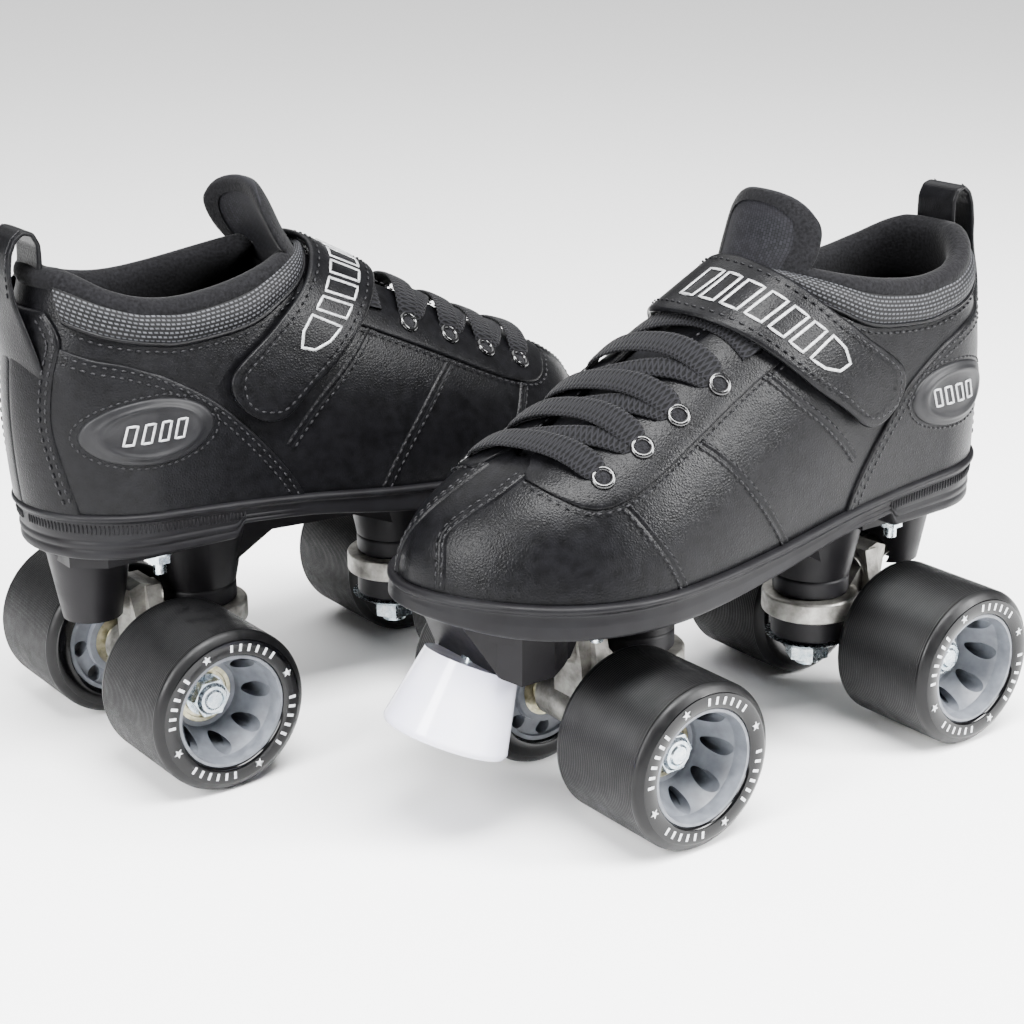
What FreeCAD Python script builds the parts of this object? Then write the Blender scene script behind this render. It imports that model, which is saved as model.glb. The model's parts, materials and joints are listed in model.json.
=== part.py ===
"""A pair of low-cut quad roller skates, in millimetres.

Every sub-part is built once in the frame of one left skate: x towards the toe, y towards
the outer (lateral) side, z up, origin on the ground under the middle of the wheelbase.
The right skate is the mirror image. The two stand side by side, heel to toe, and the
origin of the pair is on the ground at the middle of its bounding box.
"""
import FreeCAD, Part
import math
import os

V = FreeCAD.Vector
X, Y, Z = V(1, 0, 0), V(0, 1, 0), V(0, 0, 1)
O = V(0, 0, 0)

# ---- where each skate stands -------------------------------------------------------
PAIR_DX = 52.5          # half the offset between the two skates along their length
PAIR_DY = 69.3          # half the distance between their centre planes

# ---- wheels ------------------------------------------------------------------------
WHEEL_R = 31.0
WHEEL_W = 46.0
WHEEL_OUT = 66.5        # |y| of a wheel's outer face
CORE_R = 21.5           # the urethane is cast on the core at this radius
HALF_BASE = 70.0        # axles at x = +-HALF_BASE
WINDOWS = 8             # teardrop windows through each core
BEARING_R, BEARING_BORE, BEARING_W = 11.0, 4.0, 7.0
BEARING_Y = (21.0, 38.0)  # inner face of each of a wheel's two bearings
RUN = 0.05              # radial running clearance

# ---- trucks ------------------------------------------------------------------------
AXLE_R = 4.0
AXLE_END = 53.0
KING_X = 46.0           # kingpins at x = +-KING_X
KING_R = 4.75
RING_Z = (41.0, 49.5)   # hanger ring between the two cushions
CUSHION_R = 15.0
CUSHION_LOW, CUSHION_HIGH = (31.0, 41.0), (49.5, 57.5)
PIVOT_X, PIVOT_Z = 92.0, 62.9   # centre of the pivot tip
TIP_R, CUP_R = 5.5, 8.0

# ---- toe stop ----------------------------------------------------------------------
STOP_TOP, STOP_BOTTOM = V(120.5, 0, 62.0), V(132.9, 0, 35.4)
STOP_R_TOP, STOP_R_BOTTOM = 17.2, 23.4

# ---- boot --------------------------------------------------------------------------
WALL = 3.5              # leather and lining together
# The last, from toe to heel: station x, centre y, half-width, top of the closed form,
# and how square the arch is (exponent of a superellipse).
FORM = [
    (139.0, -6.0, 10.0, 106.0, 2.1),
    (134.5, -5.0, 21.0, 113.5, 2.1),
    (126.0, -3.0, 31.0, 121.5, 2.15),
    (112.0, 0.0, 40.0, 130.0, 2.2),
    (95.0, 2.0, 45.5, 136.5, 2.25),
    (75.0, 2.5, 47.5, 145.0, 2.3),
    (50.0, 2.5, 46.0, 158.0, 2.3),
    (25.0, 2.0, 43.5, 171.0, 2.35),
    (0.0, 2.0, 40.5, 184.0, 2.5),
    (-25.0, 2.0, 37.5, 196.0, 2.8),
    (-50.0, 1.5, 36.0, 205.0, 3.1),
    (-75.0, 1.0, 35.5, 210.0, 3.2),
    (-92.0, 0.5, 32.5, 210.0, 3.2),
    (-104.0, 0.0, 27.0, 209.0, 3.1),
    (-111.0, 0.0, 20.5, 208.0, 3.0),
    (-115.0, 0.0, 12.0, 206.0, 2.8),
]
TOE_X, HEEL_X = 139.0, -115.0
SOLE_TOP = [(160, 95), (140, 94), (100, 92.5), (60, 92), (20, 94), (-20, 98), (-60, 101),
            (-95, 103), (-130, 104.5)]
SOLE_FOREPART = [(160, 88), (142, 84.5), (125, 81), (95, 80), (60, 80), (20, 83.5),
                 (-15, 88.5), (-48, 91)]
HEEL_STEP_X, HEEL_UNDER_Z = -48.0, 85.5
COLLAR = [(40, 206), (8, 191), (-8, 185.5), (-28, 179), (-50, 174.5), (-70, 173.5),
          (-90, 178), (-106, 184.5), (-125, 190)]
COLLAR_PAD_RISE = 4.0
EYELET_X = (88.0, 71.0, 54.0, 35.0)
EYELET_OUT, EYELET_IN = 29.5, -22.0
LACE_SKEW = 16.0
EYELET_R = 4.2
LACE_W, LACE_T = 9.0, 1.8
STRAP_T = 2.4


# ---- small helpers -----------------------------------------------------------------
def cyl(radius, start, direction, length):
    return Part.makeCylinder(radius, length, start, direction)


def cone(r1, r2, start, direction, length):
    return Part.makeCone(r1, r2, length, start, direction)


def box(x0, x1, y0, y1, z0, z1):
    return Part.makeBox(x1 - x0, y1 - y0, z1 - z0, V(x0, y0, z0))


def prism_xz(points, y0, y1):
    """A closed outline in the x-z plane, extruded along y."""
    wire = Part.makePolygon([V(x, y0, z) for x, z in points + points[:1]])
    return Part.Face(wire).extrude(V(0, y1 - y0, 0))


def prism_yz(points, x0, x1):
    wire = Part.makePolygon([V(x0, y, z) for y, z in points + points[:1]])
    return Part.Face(wire).extrude(V(x1 - x0, 0, 0))


def prism_xy(points, z0, z1):
    wire = Part.makePolygon([V(x, y, z0) for x, y in points + points[:1]])
    return Part.Face(wire).extrude(V(0, 0, z1 - z0))


def under_curve(points, rise, floor, y0=-90.0, y1=90.0):
    """All the space under a smooth x-z curve raised by rise, down to floor."""
    pts = [V(x, y0, z + rise) for x, z in points]
    curve = Part.BSplineCurve()
    curve.interpolate(pts)
    first, last = pts[0], pts[-1]
    low_last, low_first = V(last.x, y0, floor), V(first.x, y0, floor)
    wire = Part.Wire([curve.toShape(), Part.makeLine(last, low_last),
                      Part.makeLine(low_last, low_first), Part.makeLine(low_first, first)])
    return Part.Face(wire).extrude(V(0, y1 - y0, 0))


def hexagon(across_flats, start, direction, height):
    """A hexagonal prism standing on start along direction."""
    r = across_flats / math.sqrt(3)
    pts = [V(r * math.cos(math.radians(60 * k)), r * math.sin(math.radians(60 * k)), 0)
           for k in range(7)]
    solid = Part.Face(Part.makePolygon(pts)).extrude(V(0, 0, height))
    solid.Placement = FreeCAD.Placement(start, FreeCAD.Rotation(Z, direction))
    return solid


def fuse(parts):
    return parts[0].multiFuse(parts[1:]).removeSplitter()


def mirror_x(shape):
    return shape.mirror(O, X)


def mirror_y(shape):
    return shape.mirror(O, Y)


# ---- wheel, centred on y = 0 with its outer face towards +y -------------------------
def revolve_y(profile):
    """Turn a closed (y, r) outline about the y axis."""
    wire = Part.makePolygon([V(r, y, 0) for y, r in profile + profile[:1]])
    return Part.Face(wire).revolve(O, Y, 360)


def tyre():
    w = WHEEL_W / 2
    return revolve_y([(-w + 1.2, CORE_R), (-w, 26.8), (-w + 0.5, 28.2), (-w + 2.0, 30.0),
                      (-w + 4.2, WHEEL_R), (w - 4.2, WHEEL_R), (w - 2.0, 30.0),
                      (w - 0.5, 28.2), (w, 26.8), (w - 1.2, CORE_R)])


def window():
    """One curved teardrop window, cut right through the core."""
    outline = [V(14.0, -30, -1.2), V(15.0, -30, 2.2), V(17.6, -30, 3.9), V(19.3, -30, 2.4),
               V(19.4, -30, -0.6), V(17.2, -30, -2.4)]
    curve = Part.BSplineCurve()
    curve.interpolate(outline, PeriodicFlag=True)
    return Part.Face(Part.Wire(curve.toShape())).extrude(V(0, 60, 0))


def hub():
    w = WHEEL_W / 2
    mid = WHEEL_OUT - w                    # |y| of the wheel's own middle
    b0 = BEARING_Y[0] - mid - 0.2
    b1 = BEARING_Y[1] + BEARING_W - mid + 0.2
    core = revolve_y([(b0, BEARING_R + RUN), (b0, 13.6), (-w + 2.6, 13.9), (-w + 2.6, 19.6),
                      (-w + 1.2, 19.9), (-w + 1.2, CORE_R), (w - 1.2, CORE_R),
                      (w - 1.2, 20.4), (w - 7.0, 19.8), (b1 + 1.6, 13.4),
                      (b1, 12.9), (b1, BEARING_R + RUN)])
    shoulder_in = BEARING_Y[0] + BEARING_W - mid + 0.2
    shoulder_out = BEARING_Y[1] - mid - 0.2
    core = core.fuse(cyl(12.0, V(0, shoulder_in, 0), Y, shoulder_out - shoulder_in))
    core = core.cut(cyl(9.4, V(0, -w - 1, 0), Y, WHEEL_W + 2))
    hollow = revolve_y([(-w + 7.5, 14.0), (-w + 7.5, 19.4), (w - 13.0, 19.4),
                        (b1 - 8.0, 14.0)])
    core = core.cut(hollow)
    cutter = window()
    for k in range(WINDOWS):
        turned = cutter.copy()
        turned.rotate(O, Y, 360.0 * k / WINDOWS)
        core = core.cut(turned)
    return core.removeSplitter()


def bearing():
    """608 bearing, inner face at y = 0: races, with the balls' space as one closed ring."""
    ring = revolve_y([(0, BEARING_BORE), (0, 6.1), (0.5, 6.3), (0.5, 9.2), (0, 9.4),
                      (0, BEARING_R), (BEARING_W, BEARING_R), (BEARING_W, 9.4),
                      (BEARING_W - 0.5, 9.2), (BEARING_W - 0.5, 6.3), (BEARING_W, 6.1),
                      (BEARING_W, BEARING_BORE)])
    return ring


def wheel_places():
    """Name, x and side of each wheel of one skate."""
    return [("front_outer", HALF_BASE, 1), ("front_inner", HALF_BASE, -1),
            ("rear_outer", -HALF_BASE, 1), ("rear_inner", -HALF_BASE, -1)]


def place_wheel(shape, x, side):
    mid = WHEEL_OUT - WHEEL_W / 2
    solid = shape if side > 0 else mirror_y(shape)
    solid = solid.copy()
    solid.translate(V(x, side * mid, WHEEL_R))
    return solid


# ---- truck at the front; the rear one is its mirror image ---------------------------
def pivot_axis():
    """Point at the hanger ring's centre and unit direction towards the pivot tip."""
    ring = V(KING_X, 0, sum(RING_Z) / 2)
    tip = V(PIVOT_X, 0, PIVOT_Z)
    return ring, (tip - ring).normalize()


def hanger():
    ring_mid, along = pivot_axis()
    tip = V(PIVOT_X, 0, PIVOT_Z)
    z0, z1 = RING_Z
    ring = cyl(19.0, V(KING_X, 0, z0), Z, z1 - z0)
    ring = ring.makeFillet(1.2, [e for e in ring.Edges if e.Curve.TypeId == "Part::GeomCircle"])
    parts = [ring, cyl(9.0, V(HALF_BASE, -17, WHEEL_R), Y, 34)]
    for side in (1, -1):
        parts.append(cone(9.0, 6.6, V(HALF_BASE, side * 17, WHEEL_R), V(0, side, 0), 3.0))
    parts.append(prism_xz([(60, 41.3), (60, 49.3), (66, 56.5), (69.5, 63), (74.5, 64.5),
                           (79.5, 62.5), (77.5, 50), (77, 36), (72, 24), (63, 29)], -8, 8))
    parts.append(prism_yz([(-18, 26), (-18.5, 35), (-12, 50), (-9, 63), (9, 63), (12, 50),
                           (18.5, 35), (18, 26)], 67.0, 73.0))
    near = Part.makePolygon([V(56, -17, 41.4), V(56, 17, 41.4), V(56, 17, 48), V(56, -17, 48),
                             V(56, -17, 41.4)])
    far = Part.makePolygon([V(69, -17, 25.5), V(69, 17, 25.5), V(69, 17, 37.5),
                            V(69, -17, 37.5), V(69, -17, 25.5)])
    parts.append(Part.makeLoft([near, far], True, True))
    parts.append(cone(9.0, TIP_R, tip - along * 27, along, 17))
    parts.append(cyl(TIP_R, tip - along * 10, along, 10))
    parts.append(Part.makeSphere(TIP_R, tip))
    body = fuse(parts)
    cuts = [cyl(AXLE_R, V(HALF_BASE, -30, WHEEL_R), Y, 60),
            cyl(8.2, V(KING_X, 0, 0), Z, 90),
            cyl(16.6, V(KING_X, 0, z1), Z, 12),
            cone(17.0, 22.5, V(KING_X, 0, z1 + 7), Z, 20),
            cyl(18.2, V(KING_X, 0, z0 - 20), Z, 20)]
    return body.cut(fuse(cuts))


def bearings_front():
    out = []
    for _, x, side in wheel_places()[:2]:
        for y in BEARING_Y:
            ring = bearing()
            ring.translate(V(0, y, 0))
            ring = ring if side > 0 else mirror_y(ring)
            ring.translate(V(x, 0, WHEEL_R))
            out.append(ring)
    return out


def axle_front():
    """Rod, inner speed washers, outer washers and locknuts."""
    rod = cyl(AXLE_R, V(HALF_BASE, -AXLE_END, WHEEL_R), Y, 2 * AXLE_END)
    rod = rod.makeChamfer(0.8, [e for e in rod.Edges if e.Curve.TypeId == "Part::GeomCircle"])
    out = [rod]
    for side in (1, -1):
        way = V(0, side, 0)
        for start, radius, length in ((20.0, 5.8, 1.0), (45.0, 8.0, 1.0)):
            ring = cyl(radius, V(HALF_BASE, side * start, WHEEL_R), way, length)
            out.append(ring.cut(cyl(AXLE_R, V(HALF_BASE, -60, WHEEL_R), Y, 120)))
        nut = hexagon(13.0, V(HALF_BASE, side * 46.0, WHEEL_R), way, 5.0)
        nut = nut.fuse(cone(6.2, 5.2, V(HALF_BASE, side * 51.0, WHEEL_R), way, 1.4))
        out.append(nut.cut(cyl(AXLE_R, V(HALF_BASE, -60, WHEEL_R), Y, 120)))
    return out


def cushions_front():
    out = []
    for z0, z1 in (CUSHION_LOW, CUSHION_HIGH):
        block = cyl(CUSHION_R, V(KING_X, 0, z0), Z, z1 - z0)
        rims = [e for e in block.Edges if e.Curve.TypeId == "Part::GeomCircle"]
        block = block.makeFillet(1.5, rims)
        out.append(block.cut(cyl(KING_R, V(KING_X, 0, 0), Z, 90)))
    return out


def kingpin_front():
    """Kingpin bolt, its locknut and the cupped retainer under the lower cushion."""
    pin = cyl(KING_R, V(KING_X, 0, 18.5), Z, 54.0)
    pin = pin.fuse(hexagon(14.0, V(KING_X, 0, 66.0), Z, 6.5))
    nut = hexagon(15.0, V(KING_X, 0, 21.0), Z, 6.5).cut(cyl(KING_R, V(KING_X, 0, 0), Z, 60))
    z0, z1 = 27.5, CUSHION_LOW[0]
    cup = cone(11.0, 17.0, V(KING_X, 0, z0), Z, z1 - z0)
    cup = cup.cut(cyl(KING_R, V(KING_X, 0, 0), Z, 60))
    return [pin, nut, cup]


def pivot_cup_front():
    _, along = pivot_axis()
    tip = V(PIVOT_X, 0, PIVOT_Z)
    cup = cyl(CUP_R, tip - along * 6, along, 14)
    inner = Part.makeSphere(TIP_R + RUN, tip).fuse(cyl(TIP_R + RUN, tip - along * 8, along, 8))
    return cup.cut(inner)


def both_ends(solids):
    """The front pieces and their mirror images at the rear."""
    return solids + [mirror_x(s) for s in solids]


# ---- plate ------------------------------------------------------------------------
def bolt_places():
    return [(80.0, 19.0, 74.5), (80.0, -19.0, 74.5), (-71.0, 17.5, 80.0), (-71.0, -17.5, 80.0)]


def plate(sole):
    forepart = under_curve(SOLE_FOREPART, 0.0, 60.0).cut(under_curve(SOLE_FOREPART, -5.5, 50.0))
    forepart = forepart.common(prism_xy([(HEEL_STEP_X, -21), (20, -22), (70, -27), (118, -25),
                                         (126, -16), (126, 16), (118, 25), (70, 27), (20, 22),
                                         (HEEL_STEP_X, 21)], 40, 120))
    heel = prism_xy([(HEEL_STEP_X, -24), (-95, -24), (-106, -15), (-106, 15), (-95, 24),
                     (HEEL_STEP_X, 24)], HEEL_UNDER_Z - 5.5, HEEL_UNDER_Z)
    joiner = box(HEEL_STEP_X - 2, HEEL_STEP_X + 4, -21, 21, HEEL_UNDER_Z - 5.5, 90)
    parts = [forepart, heel, joiner]
    front_boss = prism_xz([(86, 76), (86, 71), (91, 61.5), (95, 60.3), (118, 60.3),
                           (122, 62), (133, 81), (133, 86), (86, 86)], -26, 26)
    sides = prism_xy([(84, -18), (92, -18), (104, -25.5), (118, -25.5), (123, -18), (134, -12),
                      (134, 12), (123, 18), (118, 25.5), (104, 25.5), (92, 18), (84, 18)], 50, 100)
    parts.append(front_boss.common(sides))
    for sx in (1, -1):
        parts.append(cone(15.0, 20.0, V(sx * KING_X, 0, 57.5), Z, 25))
        parts.append(cyl(20.0, V(sx * KING_X, 0, 82.4), Z, 8))
    parts.append(cone(11.2, 16.0, V(-91, 0, 54.0), Z, 28))
    for y in (-14.0, 10.0):
        parts.append(prism_xz([(38, 66), (38, 88), (-38, 94), (-38, 66), (-20, 76), (18, 74)],
                              y, y + 4))
    body = fuse(parts).cut(sole)
    cuts = []
    _, along = pivot_axis()
    tip = V(PIVOT_X, 0, PIVOT_Z)
    pocket = cyl(CUP_R, tip - along * 15, along, 23)
    cuts += [pocket, mirror_x(pocket)]
    for pin in both_ends([kingpin_front()[0]]):
        cuts.append(pin)
    for x, y, _ in bolt_places():
        cuts.append(cyl(2.6, V(x, y, 50), Z, 60))
    stop_axis = (STOP_BOTTOM - STOP_TOP).normalize()
    cuts.append(cyl(4.0, STOP_TOP - stop_axis * 14, stop_axis, 40))
    above = box(-200, 200, -90, 90, 96, 150)
    return biggest(body.cut(fuse(cuts + plate_bolts())).cut(above).cut(stop_solid()))


def biggest(shape):
    """The largest solid of a cut, dropping loose crumbs of a sharp edge."""
    return max(shape.Solids, key=lambda s: s.Volume)


def plate_bolts():
    """Four sole bolts with locknuts, and the toe stop's bolt with its washer."""
    out = []
    for x, y, z in bolt_places():
        rod = cyl(2.5, V(x, y, z - 9), Z, 13.5)
        out.append(rod)
        nut = hexagon(8.0, V(x, y, z - 4.6), Z, 3.6)
        washer = cyl(5.5, V(x, y, z - 1.0), Z, 1.0)
        for piece in (nut, washer):
            out.append(piece.cut(cyl(2.5, V(x, y, z - 20), Z, 40)))
    axis = (STOP_BOTTOM - STOP_TOP).normalize()
    length = (STOP_BOTTOM - STOP_TOP).Length
    head = STOP_BOTTOM - axis * 12
    bolt = cyl(4.0, STOP_TOP - axis * 12, axis, length)
    bolt = bolt.fuse(hexagon(13.0, head, axis, 5.5))
    out.append(bolt)
    return out


def stop_solid():
    """The toe stop with no hole, a truncated cone tilted forward."""
    axis = (STOP_BOTTOM - STOP_TOP).normalize()
    length = (STOP_BOTTOM - STOP_TOP).Length
    body = cone(STOP_R_TOP, STOP_R_BOTTOM, STOP_TOP, axis, length)
    rim = [e for e in body.Edges if e.Curve.TypeId == "Part::GeomCircle"
           and abs(e.Curve.Radius - STOP_R_BOTTOM) < 0.1]
    return body.makeFillet(2.5, rim)


def toe_stop():
    axis = (STOP_BOTTOM - STOP_TOP).normalize()
    head = STOP_BOTTOM - axis * 12
    body = stop_solid().cut(cyl(9.5, head, axis, 20))
    body = body.cut(cyl(4.0, STOP_TOP - axis * 5, axis, 60))
    return body.cut(prism_xz([(86, 60.3), (118, 60.3), (122, 62), (133, 81), (86, 90)], -40, 40))


# ---- boot -------------------------------------------------------------------------
def form_wire(station, offset):
    """One arch of the last: a superellipse on a flat base, grown outwards by offset."""
    x, yc, half, top, n = station
    base = 78.0
    w, h = half + offset, top + offset - base
    pts = []
    for k in range(17):
        a = math.pi * k / 16
        c, s = math.cos(a), math.sin(a)
        pts.append(V(x, yc + w * math.copysign(abs(c) ** (2 / n), c),
                     base + h * abs(s) ** (2 / n)))
    curve = Part.BSplineCurve()
    curve.interpolate(pts)
    return Part.Wire([curve.toShape(), Part.makeLine(pts[-1], pts[0])])


def form(offset):
    """The closed boot form, offset outwards (or inwards when negative)."""
    wires = []
    for x, yc, half, top, n in FORM:
        mid = (TOE_X + HEEL_X) / 2
        reach = (TOE_X - HEEL_X) / 2
        moved = mid + (x - mid) * (reach + offset) / reach
        wires.append(form_wire((moved, yc, half, top, n), offset))
    return Part.makeLoft(wires, True, False)


def sole_prism(rise_top=0.0):
    """Side view of the sole, as wide as the box it will be cut from."""
    top = under_curve(SOLE_TOP, rise_top, 60.0)
    under = under_curve(SOLE_FOREPART, 0.0, 50.0)
    heel_under = box(-140, HEEL_STEP_X, -90, 90, 50, HEEL_UNDER_Z)
    heel_under = heel_under.fuse(prism_xz([(-100, 84), (-140, 84), (-140, 100)], -90, 90))
    return top.cut(fuse([under, heel_under]))


def outsole():
    """Cup sole: the boot's own outline, 1.8 mm proud, between the two side curves."""
    slab = form(1.8).common(sole_prism())
    return biggest(slab)


def above_sole(rise):
    return box(-160, 200, -90, 90, 80, 240).cut(under_curve(SOLE_TOP, rise, 60.0))


def upper():
    shell = form(0.0).common(above_sole(0.0))
    shell = shell.cut(form(-WALL).common(above_sole(3.0)))
    collar = above_collar(0.0)
    throat = prism_xy([(12, -14), (60, -11.5), (84, -10), (88, -6), (88, 8), (84, 12), (60, 14),
                       (12, 16), (0, 26), (-14, 28), (-14, -26), (0, -24)], 124, 240)
    shell = shell.cut(collar).cut(throat).cut(fuse(eyelet_plugs()))
    return biggest(shell)


def above_collar(rise):
    return box(-160, 40, -90, 90, 80, 260).cut(under_curve(COLLAR, rise, 60.0))


def footbed():
    layer = form(-WALL - 0.3).common(above_sole(3.0)).cut(above_sole(6.0))
    return biggest(layer)


def collar_pad():
    ring = form(-WALL - 0.2).cut(form(-WALL - 4.8))
    ring = ring.cut(above_collar(COLLAR_PAD_RISE)).common(above_collar(-22.0))
    return biggest(ring.common(box(-140, -12, -90, 90, 80, 240)))


def tongue():
    """A padded flap: arched slabs lofted from under the vamp to the top above the strap."""
    path = [(96, 126.5, 22), (80, 134, 21), (60, 143, 21), (40, 153, 20), (20, 163, 18.5),
            (6, 171.5, 17.5), (-4, 183, 19), (-10, 193, 22), (-14, 203, 21), (-16.5, 210.5, 14)]
    sag, thick = 5.5, 4.5
    wires = []
    for k, (x, z, half) in enumerate(path):
        before, after = path[max(k - 1, 0)], path[min(k + 1, len(path) - 1)]
        run = V(after[0] - before[0], 0, after[1] - before[1]).normalize()
        up = V(-run.z, 0, run.x) if run.x > 0 else V(run.z, 0, -run.x)
        crown = V(x, 2, z)
        drop = sag * (half / 22.0) ** 2
        outer = [crown + V(0, y * half, 0) - up * (drop * y * y) for y in (-1, -0.5, 0, 0.5, 1)]
        inner = [p - up * thick for p in reversed(outer)]
        skin, lining = Part.BSplineCurve(), Part.BSplineCurve()
        skin.interpolate(outer)
        lining.interpolate(inner)
        wires.append(Part.Wire([skin.toShape(), Part.makeLine(outer[-1], inner[0]),
                                lining.toShape(), Part.makeLine(inner[-1], outer[0])]))
    return Part.makeLoft(wires, True, False)


def band_on_form(low, high, cutter):
    """The part of a skin, from low to high above the boot's surface, inside cutter."""
    return form(high).cut(form(low)).common(cutter)


def ridge_slope_prism(x, z, half, length, y0, y1):
    """A slab square to the instep's slope, centred on (x, z)."""
    slope = V(-0.885, 0, 0.466)
    square = V(0.466, 0, 0.885)
    corners = [V(x, 0, z) + slope * a + square * b
               for a, b in ((-half, -length), (half, -length), (half, length), (-half, length))]
    return prism_xz([(c.x, c.z) for c in corners], y0, y1)


def lace():
    """The bars of the flat lace, each from an outer eyelet forward to an inner one."""
    bars = []
    rings = fuse(eyelet_plugs())
    turn = math.degrees(math.atan2(LACE_SKEW, EYELET_OUT - EYELET_IN))
    for x in EYELET_X:
        foot = surface_point(x, EYELET_OUT)
        cutter = ridge_slope_prism(foot.x, foot.z, LACE_W / 2, 26, EYELET_IN - 4, EYELET_OUT + 2)
        cutter.rotate(foot, Z, turn)
        bars.append(biggest(band_on_form(0.3, 0.3 + LACE_T, cutter).cut(rings)))
    return bars


def eyelet_axes():
    """Centre and outward direction of each eyelet, on both rows."""
    for x in EYELET_X:
        for ahead, y in ((0, EYELET_OUT), (LACE_SKEW, EYELET_IN)):
            axis = V(0.40, 0.42 if y > 0 else -0.42, 0.81).normalize()
            yield surface_point(x + ahead, y), axis


def eyelet_plugs():
    """Full discs where the eyelets sit, to cut their holes with."""
    return [cyl(EYELET_R, c - a * 4.2, a, 5.0) for c, a in eyelet_axes()]


def eyelets():
    """Rolled rings through the eyestay, flush with the leather on both rows."""
    return [cyl(EYELET_R, c - a * 4.2, a, 5.0).cut(cyl(2.4, c - a * 9, a, 18))
            for c, a in eyelet_axes()]


def surface_point(x, y):
    """A point of the form's surface above (x, y)."""
    for (x1, c1, w1, t1, n1), (x0, c0, w0, t0, n0) in zip(FORM, FORM[1:]):
        if x0 <= x <= x1:
            f = (x - x0) / (x1 - x0)
            yc, w, t, n = (a + (b - a) * f for a, b in ((c0, c1), (w0, w1), (t0, t1), (n0, n1)))
            side = min(abs((y - yc) / w), 1.0)
            return V(x, y, 78.0 + (t - 78.0) * (1 - side ** n) ** (1 / n))
    return V(x, y, FORM[0][3])


STRAP_INNER = [(7, 193), (-5, 183), (-27, 150), (-22, 143), (-10, 140), (2, 145), (26, 168),
               (32, 176), (22, 190)]
STRAP_OUTER = [(7, 193), (-5, 183), (-33, 157), (-49, 149), (-55, 139), (-52, 128), (-41, 121),
              (-27, 125), (1, 148), (26, 168), (32, 176), (22, 190)]


def strap():
    """Instep strap: lies on the boot from its sewn root to its rounded free end."""
    side_views = prism_xz(STRAP_OUTER, 0, 70).fuse(prism_xz(STRAP_INNER, -70, 0))
    return biggest(band_on_form(2.6, 2.6 + STRAP_T, side_views))


def heel_loop():
    """Folded pull loop behind the collar, open through its fold."""
    outer = [(-108.5, 170), (-104.5, 186), (-103.5, 198), (-106, 203), (-110.5, 204),
             (-114.5, 201.5), (-117.3, 194), (-118.6, 182), (-118.8, 170)]
    inner = [(-112.0, 192), (-107.2, 192), (-106.6, 197.5), (-108, 200.3), (-110.5, 201),
             (-112.6, 199.5), (-114.2, 194)]
    loop = prism_xz(outer, -9.5, 9.5).cut(prism_xz(inner, -12, 12))
    pad = form(0.3).common(box(-200, 0, -60, 60, 60, 188.0))
    lining = form(-WALL - 0.2).common(box(-200, 0, -60, 60, 60, 240.0))
    return biggest(loop.cut(pad).cut(lining))


# ---- one skate, as named nodes ------------------------------------------------------
def skate():
    sole = outsole()
    nodes = {}
    rim, core = tyre(), hub()
    for name, x, side in wheel_places():
        nodes[name + "_tyre"] = [place_wheel(rim, x, side)]
        nodes[name + "_hub"] = [place_wheel(core, x, side)]
    bearings, axle, cushions = bearings_front(), axle_front(), cushions_front()
    yoke = hanger()
    nodes["front_bearings"] = bearings
    nodes["rear_bearings"] = [mirror_x(s) for s in bearings]
    nodes["front_hanger"] = [yoke]
    nodes["rear_hanger"] = [mirror_x(yoke)]
    nodes["front_axle"] = axle
    nodes["rear_axle"] = [mirror_x(s) for s in axle]
    nodes["front_cushions"] = cushions
    nodes["rear_cushions"] = [mirror_x(s) for s in cushions]
    nodes["kingpins"] = both_ends(kingpin_front())
    nodes["pivot_cups"] = both_ends([pivot_cup_front()])
    nodes["plate"] = [plate(sole)]
    nodes["fasteners"] = plate_bolts()
    nodes["toe_stop"] = [biggest(toe_stop())]
    nodes["outsole"] = [sole.cut(fuse([s for s in plate_bolts()[::3]]))]
    nodes["upper"] = [upper()]
    nodes["footbed"] = [footbed()]
    nodes["collar"] = [collar_pad()]
    nodes["tongue"] = [tongue()]
    nodes["lace"] = lace()
    nodes["eyelets"] = eyelets()
    nodes["strap"] = [strap()]
    nodes["heel_loop"] = [heel_loop()]
    return nodes


def to_left(shape):
    """The left skate faces -x and stands in front."""
    placed = shape.copy()
    placed.rotate(O, Z, 180)
    placed.translate(V(PAIR_DX, -PAIR_DY, 0))
    return placed


def to_right(shape):
    """The right skate is mirrored, faces +x and stands behind."""
    placed = mirror_y(shape)
    placed.translate(V(-PAIR_DX, PAIR_DY, 0))
    return placed


def main():
    os.makedirs("parts", exist_ok=True)
    for name, solids in skate().items():
        for side, move in (("left", to_left), ("right", to_right)):
            placed = [move(s) for s in solids]
            shape = placed[0] if len(placed) == 1 else Part.makeCompound(placed)
            shape.exportStep("parts/%s_%s.step" % (side, name))


main()
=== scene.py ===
"""A pair of quad roller skates, in metres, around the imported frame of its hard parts.

The soft and moulded pieces are shaped in the frame of one left skate, in millimetres: x to
the toe, y to the outer side, z up, with the origin on the ground under the wheelbase. Each
is then set into the row frame twice, once for the left skate and mirrored for the right.
"""
import bisect
import json
import math
import bmesh
import bpy
from mathutils import Matrix, Vector


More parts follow.
